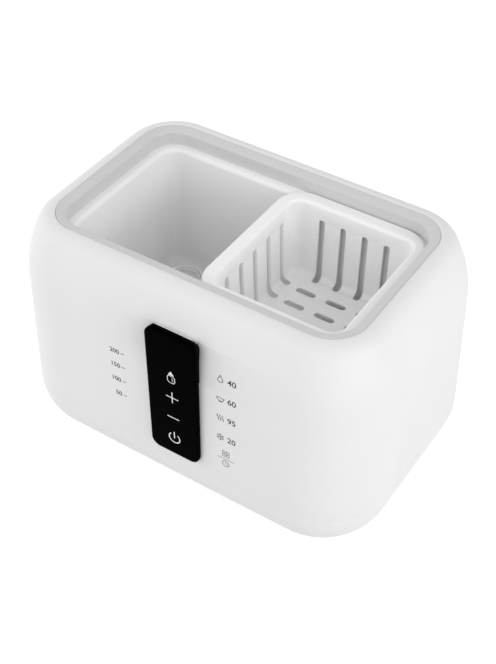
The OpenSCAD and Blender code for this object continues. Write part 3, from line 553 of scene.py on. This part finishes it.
def basket_slots():
    """Cutters of the slots in the walls and the floor, and of the round ends on the floor"""
    foot_r = well_round(BASKET_R, BASKET_DEPTH, BASKET_LEAN)
    top = BASKET_TOP - SLOT_DROP - SLOT_W / 2
    low = BASKET_Z - SLOT_OVER
    stadium = [(-SLOT_W / 2, low), (SLOT_W / 2, low)] + arc(0, top, SLOT_W / 2, 0, math.pi, INNER_STEPS)

    def through_floor(x, y, t):
        return (x, y, low + t)

    slots, ends = bmesh.new(), bmesh.new()
    for count, mid, along in ((SIDE_SLOTS, BASKET_MID_X, 0), (FRONT_SLOTS, BASKET_MID_Y, 1)):
        start = mid + foot_r - SLOT_FOOT + SLOT_W / 2
        flip = (lambda a, b: (BASKET_X + a, b)) if along == 0 else (lambda a, b: (BASKET_X + b, a))
        for side in (-1, 1):
            for i in range(count):
                u = (i - (count - 1) / 2) * SLOT_PITCH
                prism(slots, stadium, lambda x, y, t: (*flip(side * (start + t), u + x), y), SLOT_REACH)
                x, y = flip(side * start, u)
                prism(ends, circle(SLOT_W / 2, x, y, SLOT_STEPS), through_floor, 2 * SLOT_OVER)
    for i in range(FLOOR_COLUMNS):
        for j in range(FLOOR_ROWS):
            x = BASKET_X + (i - (FLOOR_COLUMNS - 1) / 2) * FLOOR_PITCH
            y = (j - (FLOOR_ROWS - 1) / 2) * FLOOR_ROW
            outline = rounded_rect(FLOOR_SLOT, SLOT_W, SLOT_W / 2 - SLIVER, x, y, LIP_STEPS)
            prism(slots, outline, through_floor, 2 * SLOT_OVER)
    return [keep(slots, "slots"), keep(ends, "slot_ends")]


def lens():
    """Panel face with an eased edge, drawn in plan with its front up and turned to the front"""
    bm = bmesh.new()
    mid_x, mid_z = PANEL_W / 2 - PANEL_R, (PANEL_H + LENS_RISE) / 2 - PANEL_R
    path = stations(mid_x, mid_z, 0, LENS_RISE / 2, CORNER_STEPS)
    front, back = -LENS_Y, -LENS_Y - LENS_T
    profile = eased(
        [
            (PANEL_R - LENS_BACK_R, back),
            (PANEL_R, back + LENS_BACK_R),
            (PANEL_R, front, LENS_EDGE_R),
            (PANEL_R - LENS_FLAT, front),
        ],
        closed=False,
    )
    sweep(bm, profile, path, closed=False)
    for r, z in (profile[0], profile[-1]):
        fill(bm, [ring_loop(path, r)], at_height(z))
    place = Matrix.Translation((PANEL_X, 0, PANEL_Z)) @ Matrix.Rotation(QUARTER, 4, "X")
    bmesh.ops.transform(bm, matrix=place, verts=bm.verts)
    return keep(bm, "panel_glass")


def frame_loop(y, inset, rise=0.0, ear=0.0):
    """Outline of the panel surround at a depth, its top and foot drawn in less than its sides"""
    w, h = PANEL_W - 2 * inset + 2 * ear, PANEL_H - END_DRAFT * inset + rise
    outline = rounded_rect(w, h, PANEL_R - inset, PANEL_X, PANEL_Z + rise / 2, CORNER_STEPS)
    return [(x, y, z) for x, z in outline]


def panel_frame():
    """Surround with a shelf behind the face, a slope into the wall and a flange for its screws inside"""
    bm = bmesh.new()
    lo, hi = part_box("panel_frame")
    back = hi.y / MM
    flange = back - FRAME_T
    ear = (hi.x - lo.x) / MM / 2 - PANEL_W / 2
    rest = [(flange, DRAFT_IN), (flange, 0, 0, ear), (back, 0, 0, ear), (back, FRAME_T), (FRAME_Y, FRAME_T)]
    loft(bm, [frame_loop(*row) for row in SURROUND + rest], closed=True)
    return keep(split(bm, keep_top=False), "panel_surround")


def panel_brow():
    """Top of the surround's slope, moulded on the casing to carry the upper edge of the face"""
    bm = bmesh.new()
    end = FRAME_Y + DRAFT_T + SHELL
    rest = [(end, DRAFT_IN), (end, FRAME_T), (FRAME_Y, FRAME_T)]
    loft(bm, [frame_loop(*row) for row in SURROUND + rest], closed=True)
    return keep(split(bm, keep_top=True), "panel_brow")


def split(bm, keep_top):
    """Keeps the part of the surround over or under the plane that parts it from the brow"""
    start, end = (frame_loop(*row) for row in SURROUND[2:])
    top, foot_z = max(z for x, y, z in start), max(z for x, y, z in end)
    out = bmesh.ops.bisect_plane(
        bm,
        geom=bm.verts[:] + bm.edges[:] + bm.faces[:],
        plane_co=(0, FRAME_Y + SHELF_T, top - BROW_T),
        plane_no=(0, top - foot_z, DRAFT_T - SHELF_T),
        clear_inner=keep_top,
        clear_outer=not keep_top,
    )
    bmesh.ops.edgenet_fill(bm, edges=[e for e in out["geom_cut"] if isinstance(e, bmesh.types.BMEdge)])
    return bm


# Turned pieces


def foot(i):
    lo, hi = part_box(f"foot_{i}")
    x, y = (lo.x + hi.x) / 2 / MM, (lo.y + hi.y) / 2 / MM
    return lathe(f"foot_pad_{i}", FOOT_PROFILE, Matrix.Translation((x, y, 0)))


def at_probe(name, profile):
    """Turned piece on the tank floor where the probe is"""
    return lathe(name, profile, Matrix.Translation((PROBE_X, PROBE_Y, TANK_Z)))


# Signs: flat shapes (x, z) about a middle, each a list of loops with the outermost first


def bar(x0, z0, x1, z1, w):
    """Straight stroke with round ends"""
    a = math.atan2(z1 - z0, x1 - x0)
    ahead = arc(x1, z1, w / 2, a - QUARTER, a + QUARTER, CAP_STEPS)
    return [ahead + arc(x0, z0, w / 2, a + QUARTER, a + 3 * QUARTER, CAP_STEPS)]


def beside(points, d, closed):
    """Line of points moved to its left by a distance"""
    out = []
    n = len(points)
    for i in range(n):
        near = [points[j % n] for j in (i - 1, i, i + 1) if closed or 0 <= j < n]
        ways = [(Vector(b) - Vector(a)).normalized() for a, b in zip(near, near[1:])]
        mean = (ways[0] + ways[-1]).normalized()
        reach = d / mean.dot(ways[0])
        out.append((points[i][0] - mean.y * reach, points[i][1] + mean.x * reach))
    return out


def ribbon(points, w):
    """Stroke along an open line"""
    return [beside(points, w / 2, False) + beside(points, -w / 2, False)[::-1]]


def hoop(points, w):
    """Stroke along a closed counter-clockwise line"""
    return [beside(points, -w / 2, True), beside(points, w / 2, True)]


def bow(r, w, start, end, cz=0.0):
    """Curved stroke, angles in degrees"""
    return ribbon(arc(0, cz, r, math.radians(start), math.radians(end), BOW_STEPS), w)


def digits(text, size, x, z):
    """Shapes of plain numbers, right aligned at x and centred on z"""
    curve = bpy.data.curves.new("digits", "FONT")
    curve.body, curve.align_x = text, "RIGHT"
    curve.size, curve.offset = size * DIGIT_SCALE, DIGIT_WEIGHT * size
    mesh = evaluated_mesh(placed("digits", curve))
    low = min(v.co.y for v in mesh.vertices)
    high = max(v.co.y for v in mesh.vertices)
    out = [
        [[(x + mesh.vertices[i].co.x, z + mesh.vertices[i].co.y - (low + high) / 2) for i in p.vertices]]
        for p in mesh.polygons
    ]
    bpy.data.meshes.remove(mesh)
    bpy.data.curves.remove(curve)
    return out


def moved(shapes, x, z):
    """Shapes carried to a place"""
    return [[[(x + a, z + b) for a, b in loop] for loop in shape] for shape in shapes]


def sign(name, shapes, depth_at):
    """Thin print of shapes that faces the front; depth_at(z) gives the surface that it lies on"""
    bm = bmesh.new()
    for loops in shapes:
        fill(bm, loops, lambda x, z: (x, depth_at(z), z))
    bmesh.ops.remove_doubles(bm, verts=bm.verts, dist=SIGN_MERGE)
    bm.normal_update()
    for f in bm.faces:
        if f.normal.y > 0:
            f.normal_flip()
    bmesh.ops.scale(bm, vec=(MM, MM, MM), verts=bm.verts)
    return placed(name, mesh_of(bm, name))


def on_lens(z):
    """Depth of a print on the panel face, the same at each height"""
    return LENS_Y - LENS_PRINT


def on_front(z):
    """Depth of a print on the casing's front at a height"""
    return -(MID_Y + skin_x(z)) - FRONT_PRINT


def bottle_sign():
    body = eased([(-2.3, -3.7, 1.8), (2.3, -3.7, 1.8), (2.3, 1.2, 1.4), (-2.3, 1.2, 1.4)])
    cap = eased(
        [
            (-1.9, 1.7, 0.3), (1.9, 1.7, 0.3), (1.3, 2.9, 0.3), (0.7, 3.0, 0.3),
            (0.45, 4.2, 0.4), (-0.45, 4.2, 0.4), (-0.7, 3.0, 0.3), (-1.3, 2.9, 0.3),
        ]
    )
    marks = [bar(0.5, z, 1.2, z, 0.36) for z in (-2.3, -1.3, -0.3)]
    return [hoop(body, STROKE), [cap]] + marks


def plus_sign():
    out = []
    corner = [(PLUS_ARM, PLUS_HALF_W), (PLUS_HALF_W, PLUS_HALF_W), (PLUS_HALF_W, PLUS_ARM)]
    for _ in range(4):
        out += corner
        corner = [(-z, x) for x, z in corner]
    return [[out]]


def minus_sign():
    return [bar(-MINUS_ARM, 0, MINUS_ARM, 0, MINUS_W)]


def power_sign():
    return [bow(3.4, 0.68, 128, 412), bar(0, 0.0, 0, 4.5, 0.64)]


def drop_sign():
    side = arc(0, -0.7, 1.5, math.radians(-205), math.radians(25), 20)
    return [hoop(side + [(0, 2.3)], STROKE)]


def bowl_sign():
    rim, stand = bar(-2.5, 0.4, 2.5, 0.4, STROKE), bar(-0.9, -2.3, 0.9, -2.3, STROKE)
    return [bow(2.1, STROKE, 184, 356, 0.3), rim, stand]


def steam_sign():
    wave = [(0.45 * math.sin(t * math.pi / 6), -2.0 + t / 3) for t in range(13)]
    return [ribbon([(x + dx, z) for x, z in wave], STROKE) for dx in (-1.5, 0, 1.5)]


def flake_sign():
    out = []
    for k in range(6):
        a = QUARTER + k * math.pi / 3
        c, s = math.cos(a), math.sin(a)
        out.append(bar(0.45 * c, 0.45 * s, 2.2 * c, 2.2 * s, FINE_STROKE))
        for b in (-0.24, 0.24):
            base = (1.35 * math.cos(a + b / 2), 1.35 * math.sin(a + b / 2))
            out.append(bar(*base, 2.15 * math.cos(a + b), 2.15 * math.sin(a + b), 0.28))
    return out


def clock_sign():
    hands = [bar(0, 0.2, 0, 1.2, FINE_STROKE), bar(0.2, -0.1, 1.0, -0.45, FINE_STROKE)]
    return [hoop(circle(2.0, steps=WELL_STEPS), 0.36)] + hands


def grid_sign():
    box = [(-0.8, -0.8), (0.8, -0.8), (0.8, 0.8), (-0.8, 0.8)]
    return [moved([hoop(box, 0.32)], x, z)[0] for x in (-1.25, 1.25) for z in (-1.2, 1.2)]


MODES = (
    (drop_sign, "40", 110.4),
    (bowl_sign, "60", 97.0),
    (steam_sign, "95", 83.4),
    (flake_sign, "20", 69.4),
)
KEYS = ((bottle_sign, BOTTLE_Z), (plus_sign, PLUS_Z), (minus_sign, MINUS_Z), (power_sign, POWER_Z))


def panel_signs():
    signs = []
    for draw, z in KEYS:
        signs += moved(draw(), KEY_X, z)
    return sign("key_signs", signs, on_lens)


def level_signs():
    signs = []
    for text, z in LEVELS:
        signs += digits(text, LEVEL_SIZE, LEVEL_X, z)
        signs.append(bar(DASH_FROM, z, DASH_TO, z, DASH_W))
    return sign("level_signs", signs, on_front)


def mode_signs():
    signs = []
    for draw, text, z in MODES:
        signs += moved(draw(), MODE_SIGN_X, z) + digits(text, MODE_SIZE, MODE_TEXT_X, z)
    signs += moved(grid_sign(), TIMER_X, GRID_Z)
    signs.append(bar(RULE_FROM, RULE_Z, RULE_TO, RULE_Z, RULE_W))
    signs += moved(clock_sign(), TIMER_X, CLOCK_Z)
    return sign("mode_signs", signs, on_front)


# Materials


def material(name):
    """New material, its nodes, its links and its shader"""
    mat = bpy.data.materials.new(name)
    mat.use_nodes = True
    nodes = mat.node_tree.nodes
    return mat, nodes, mat.node_tree.links, nodes["Principled BSDF"]


def noise(nodes, links, scale, detail, stretch=(1, 1, 1)):
    """Noise in object space, its scale in features per metre"""
    coords = nodes.new("ShaderNodeTexCoord")
    mapping = nodes.new("ShaderNodeMapping")
    mapping.inputs["Scale"].default_value = stretch
    tex = nodes.new("ShaderNodeTexNoise")
    tex.inputs["Scale"].default_value = scale
    tex.inputs["Detail"].default_value = detail
    links.new(coords.outputs["Object"], mapping.inputs["Vector"])
    links.new(mapping.outputs["Vector"], tex.inputs["Vector"])
    return tex.outputs["Fac"]


def spread(nodes, links, fac, low, high, socket):
    """Drives a number socket from a texture, between two values"""
    span = nodes.new("ShaderNodeMapRange")
    span.inputs["To Min"].default_value = low
    span.inputs["To Max"].default_value = high
    links.new(fac, span.inputs["Value"])
    links.new(span.outputs["Result"], socket)


def tint(nodes, links, fac, dark, light, socket):
    """Drives a colour socket from a texture, between two colours"""
    ramp = nodes.new("ShaderNodeValToRGB")
    ramp.color_ramp.elements[0].position = 0.3
    ramp.color_ramp.elements[1].position = 0.7
    ramp.color_ramp.elements[0].color = (*dark, 1)
    ramp.color_ramp.elements[1].color = (*light, 1)
    links.new(fac, ramp.inputs["Fac"])
    links.new(ramp.outputs["Color"], socket)


def grain(nodes, links, fac, shader, depth, strength=1.0):
    """Fine relief from a texture, its depth in millimetres"""
    bump = nodes.new("ShaderNodeBump")
    bump.inputs["Distance"].default_value = depth * MM
    bump.inputs["Strength"].default_value = strength
    links.new(fac, bump.inputs["Height"])
    links.new(bump.outputs["Normal"], shader.inputs["Normal"])


def plastic(name, colour, rough, relief=0.01, fine=1400, specular=0.5, vary=0.012):
    """Moulded plastic: cloudy colour, uneven gloss and a fine grain"""
    mat, nodes, links, shader = material(name)
    dark = [c * (1 - vary) for c in colour]
    light = [min(1, c * (1 + vary)) for c in colour]
    tint(nodes, links, noise(nodes, links, CLOUD_SCALE, 3), dark, light, shader.inputs["Base Color"])
    gloss = noise(nodes, links, GLOSS_SCALE, 4)
    spread(nodes, links, gloss, rough - GLOSS_SPREAD, rough + GLOSS_SPREAD, shader.inputs["Roughness"])
    grain(nodes, links, noise(nodes, links, fine, 2), shader, relief)
    shader.inputs["Specular IOR Level"].default_value = specular
    return mat


def metal(name, colour, rough, stretch=(1, 1, 1), fine=900):
    """Sheet or turned metal: streaks in gloss and a shallow grain"""
    mat, nodes, links, shader = material(name)
    streak = noise(nodes, links, fine, 3, stretch)
    tint(nodes, links, streak, [c * 0.93 for c in colour], colour, shader.inputs["Base Color"])
    spread(nodes, links, streak, rough - 0.07, rough + 0.07, shader.inputs["Roughness"])
    grain(nodes, links, streak, shader, 0.01, 0.6)
    shader.inputs["Metallic"].default_value = 1.0
    return mat


def turned_metal(name, colour, rough):
    """Metal brushed in circles about the middle of the tank"""
    mat, nodes, links, shader = material(name)
    coords = nodes.new("ShaderNodeTexCoord")
    wave = nodes.new("ShaderNodeTexWave")
    wave.wave_type, wave.rings_direction = "RINGS", "Z"
    wave.inputs["Scale"].default_value = 380
    wave.inputs["Distortion"].default_value = 2.5
    wave.inputs["Detail"].default_value = 3
    wave.inputs["Detail Scale"].default_value = 4
    links.new(coords.outputs["Object"], wave.inputs["Vector"])
    tint(nodes, links, wave.outputs["Fac"], [c * 0.9 for c in colour], colour, shader.inputs["Base Color"])
    spread(nodes, links, wave.outputs["Fac"], rough - 0.06, rough + 0.06, shader.inputs["Roughness"])
    grain(nodes, links, wave.outputs["Fac"], shader, 0.008, 0.5)
    shader.inputs["Metallic"].default_value = 1.0
    return mat


def circuit(name, colour):
    """Solder mask over copper: a darker board with paler traces"""
    mat, nodes, links, shader = material(name)
    coords = nodes.new("ShaderNodeTexCoord")
    brick = nodes.new("ShaderNodeTexBrick")
    brick.inputs["Scale"].default_value = 260
    brick.inputs["Mortar Size"].default_value = 0.06
    brick.inputs["Color1"].default_value = (*[c * 0.8 for c in colour], 1)
    brick.inputs["Color2"].default_value = (*colour, 1)
    brick.inputs["Mortar"].default_value = (*[min(1, c * 1.6) for c in colour], 1)
    links.new(coords.outputs["Object"], brick.inputs["Vector"])
    links.new(brick.outputs["Color"], shader.inputs["Base Color"])
    grain(nodes, links, brick.outputs["Fac"], shader, 0.03)
    shader.inputs["Roughness"].default_value = 0.35
    return mat


MATERIALS = {
    "casing_white": plastic("casing_white", (0.81, 0.81, 0.81), 0.5, specular=0.3),
    "base_white": plastic("base_white", (0.81, 0.81, 0.81), 0.5, specular=0.3),
    "ring_grey": plastic("ring_grey", (0.64, 0.64, 0.642), 0.45),
    "tank_white": plastic("tank_white", (0.90, 0.90, 0.90), 0.42),
    "basket_white": plastic("basket_white", (0.94, 0.94, 0.94), 0.45),
    "lens_black": plastic("lens_black", (0.0004, 0.0004, 0.0004), 0.25, 0.002, 600, 0.004, 0.2),
    "frame_black": plastic("frame_black", (0.0022, 0.0022, 0.0023), 0.45, 0.01, 1600, 0.01, 0.2),
    "board_green": circuit("board_green", (0.02, 0.13, 0.06)),
    "display_grey": plastic("display_grey", (0.10, 0.10, 0.11), 0.3),
    "spring_steel": metal("spring_steel", (0.66, 0.67, 0.69), 0.25),
    "lamp_ivory": plastic("lamp_ivory", (0.80, 0.76, 0.60), 0.2),
    "screw_steel": metal("screw_steel", (0.58, 0.59, 0.61), 0.32),
    "plate_steel": turned_metal("plate_steel", (0.62, 0.63, 0.64), 0.3),
    "clamp_steel": metal("clamp_steel", (0.52, 0.53, 0.55), 0.38, (1, 12, 1)),
    "seal_silicone": plastic("seal_silicone", (0.88, 0.88, 0.87), 0.62, 0.02),
    "spreader_aluminium": metal("spreader_aluminium", (0.70, 0.70, 0.71), 0.5, fine=400),
    "thermostat_tan": plastic("thermostat_tan", (0.28, 0.17, 0.08), 0.5),
    "fuse_white": plastic("fuse_white", (0.75, 0.75, 0.72), 0.6, 0.03),
    "relay_blue": plastic("relay_blue", (0.02, 0.05, 0.25), 0.4),
    "transformer_yellow": plastic("transformer_yellow", (0.50, 0.36, 0.07), 0.5, 0.02),
    "terminal_green": plastic("terminal_green", (0.03, 0.20, 0.07), 0.45),
    "lead_red": plastic("lead_red", (0.30, 0.02, 0.015), 0.5, 0.02),
    "ribbon_grey": plastic("ribbon_grey", (0.25, 0.25, 0.27), 0.55, 0.02),
    "gland_white": plastic("gland_white", (0.66, 0.66, 0.66), 0.6, 0.02),
    "foot_grey": plastic("foot_grey", (0.22, 0.22, 0.225), 0.7, 0.03),
}
PROBE_STEEL = metal("probe_steel", (0.86, 0.86, 0.87), 0.5)
SIGN_WHITE = plastic("sign_white", (0.85, 0.85, 0.85), 0.6, 0.002)
SIGN_GREY = plastic("sign_grey", (0.04, 0.04, 0.041), 0.6, 0.002)


def dress(obj, body, slot, *nodes, paint=None):
    """Puts a piece on its body with its finish, in place of CAD nodes if any"""
    obj.data.materials.clear()
    obj.data.materials.append(paint or MATERIALS[slot])
    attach(obj, body)
    if nodes:
        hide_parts(*nodes)


for part in frame["record"]["subparts"]:
    node = frame["nodes"][part["node"]]
    node.data.materials.clear()
    node.data.materials.append(MATERIALS[part["material_slot"]])

dress(outer_shell(), "housing", "casing_white", "outer_casing")
dress(base_shell(), "housing", "base_white", "base_pan")
dress(top_ring(), "housing", "ring_grey", "top_ring")
dress(tank(), "housing", "tank_white", "tank_liner")
dress(basket(), "basket", "basket_white", "basket")
dress(lens(), "housing", "lens_black", "panel_lens")
dress(panel_frame(), "housing", "frame_black", "panel_frame")
dress(panel_brow(), "housing", "casing_white")
for i in (1, 2, 3, 4):
    dress(foot(i), "housing", "foot_grey", f"foot_{i}")
dress(lathe("gland_collar", GLAND_PROFILE, gland_place()), "housing", "gland_white", "cord_gland")
plate = lathe("hot_plate", PLATE_PROFILE, Matrix.Translation((0, 0, TANK_Z)), PLATE_STEPS)
dress(plate, "housing", "plate_steel", "heating_plate")
dress(at_probe("probe_ring", SEAL_PROFILE), "housing", "seal_silicone", "probe_seal")
dress(at_probe("probe_collar", COLLAR_PROFILE), "housing", "tank_white")
button = at_probe("probe_button", PROBE_PROFILE)
dress(button, "housing", "screw_steel", "temperature_probe", paint=PROBE_STEEL)
dress(panel_signs(), "housing", "lens_black", paint=SIGN_WHITE)
dress(level_signs(), "housing", "casing_white", paint=SIGN_GREY)
dress(mode_signs(), "housing", "casing_white", paint=SIGN_GREY)


# Studio, in metres and watts

FLOOR_SIZE, FLOOR_GREY, FLOOR_GLOW = 6.0, (0.8, 0.8, 0.8, 1), 0.52
ROUND_LIGHT, BACKDROP = 0.63, 1.0
WHITE = (1, 1, 1, 1)
MIDDLE = (0, 0, 0.08)

# Name, place, aim, size and power
LAMPS = (
    ("key", (1.35, -0.3, 0.85), MIDDLE, 0.9, 5.7),
    ("side", (1.5, -0.2, 0.4), MIDDLE, 0.9, 4.0),
    ("fill", (-0.5, -1.25, 0.75), (-0.05, 0, 0.06), 1.0, 3.9),
    ("left", (-1.4, -0.3, 0.5), MIDDLE, 1.0, 5.5),
    ("rear", (-1.1, 1.2, 0.5), MIDDLE, 1.0, 1.5),
)

# Sensor and lens of the camera are millimetres
CAMERA_SENSOR, CAMERA_LENS = 36.0, 66.947
CAMERA_PLACE, CAMERA_LOOK = (0.2777, -0.4228, 0.54026), (-0.39993, 0.61151, -0.68272)


def seen(nodes, links):
    """One for camera, glossy and transmission rays, nought for the rays that light the object"""
    path = nodes.new("ShaderNodeLightPath")
    total = nodes.new("ShaderNodeMath")
    total.operation = "ADD"
    both = nodes.new("ShaderNodeMath")
    both.operation = "ADD"
    both.use_clamp = True
    links.new(path.outputs["Is Camera Ray"], total.inputs[0])
    links.new(path.outputs["Is Glossy Ray"], total.inputs[1])
    links.new(total.outputs["Value"], both.inputs[0])
    links.new(path.outputs["Is Transmission Ray"], both.inputs[1])
    return both.outputs["Value"]


def floor():
    """Pale floor that the camera sees as white where no shadow falls"""
    bm = bmesh.new()
    bmesh.ops.create_grid(bm, x_segments=1, y_segments=1, size=FLOOR_SIZE)
    obj = placed("floor", mesh_of(bm, "floor"))
    mat = bpy.data.materials.new("floor")
    mat.use_nodes = True
    nodes, links = mat.node_tree.nodes, mat.node_tree.links
    nodes.clear()
    out = nodes.new("ShaderNodeOutputMaterial")
    both = nodes.new("ShaderNodeAddShader")
    share = nodes.new("ShaderNodeMapRange")
    share.inputs["To Max"].default_value = FLOOR_GLOW
    diffuse = nodes.new("ShaderNodeBsdfDiffuse")
    diffuse.inputs["Color"].default_value = FLOOR_GREY
    glow = nodes.new("ShaderNodeEmission")
    links.new(seen(nodes, links), share.inputs["Value"])
    links.new(share.outputs["Result"], glow.inputs["Strength"])
    links.new(diffuse.outputs["BSDF"], both.inputs[0])
    links.new(glow.outputs["Emission"], both.inputs[1])
    links.new(both.outputs["Shader"], out.inputs["Surface"])
    obj.data.materials.append(mat)


def world():
    """White backdrop, and a softer even light from all round"""
    sky = bpy.data.worlds.new("studio")
    bpy.context.scene.world = sky
    sky.use_nodes = True
    nodes, links = sky.node_tree.nodes, sky.node_tree.links
    nodes.clear()
    out = nodes.new("ShaderNodeOutputWorld")
    mix = nodes.new("ShaderNodeMixShader")
    light = nodes.new("ShaderNodeBackground")
    light.inputs["Strength"].default_value = ROUND_LIGHT
    backdrop = nodes.new("ShaderNodeBackground")
    backdrop.inputs["Strength"].default_value = BACKDROP
    for n in (light, backdrop):
        n.inputs["Color"].default_value = WHITE
    links.new(seen(nodes, links), mix.inputs["Fac"])
    links.new(light.outputs["Background"], mix.inputs[1])
    links.new(backdrop.outputs["Background"], mix.inputs[2])
    links.new(mix.outputs["Shader"], out.inputs["Surface"])


def aimed(obj, place, look):
    """Puts a lamp or camera in place, looking along a direction"""
    obj.location = place
    obj.rotation_mode = "QUATERNION"
    obj.rotation_quaternion = look.to_track_quat("-Z", "Y")


def lamp(name, place, aim, size, power):
    """Soft square lamp that the camera doesn't see"""
    data = bpy.data.lights.new(name, "AREA")
    data.shape, data.size, data.energy = "SQUARE", size, power
    obj = placed(name, data)
    aimed(obj, place, Vector(aim) - Vector(place))
    obj.visible_camera = False


def camera():
    """Camera at the photograph's viewing angle"""
    data = bpy.data.cameras.new("camera")
    data.sensor_width, data.lens = CAMERA_SENSOR, CAMERA_LENS
    obj = placed("camera", data)
    aimed(obj, CAMERA_PLACE, Vector(CAMERA_LOOK))
    bpy.context.scene.camera = obj


floor()
world()
for row in LAMPS:
    lamp(*row)
camera()
bpy.context.scene.view_settings.view_transform = "Standard"
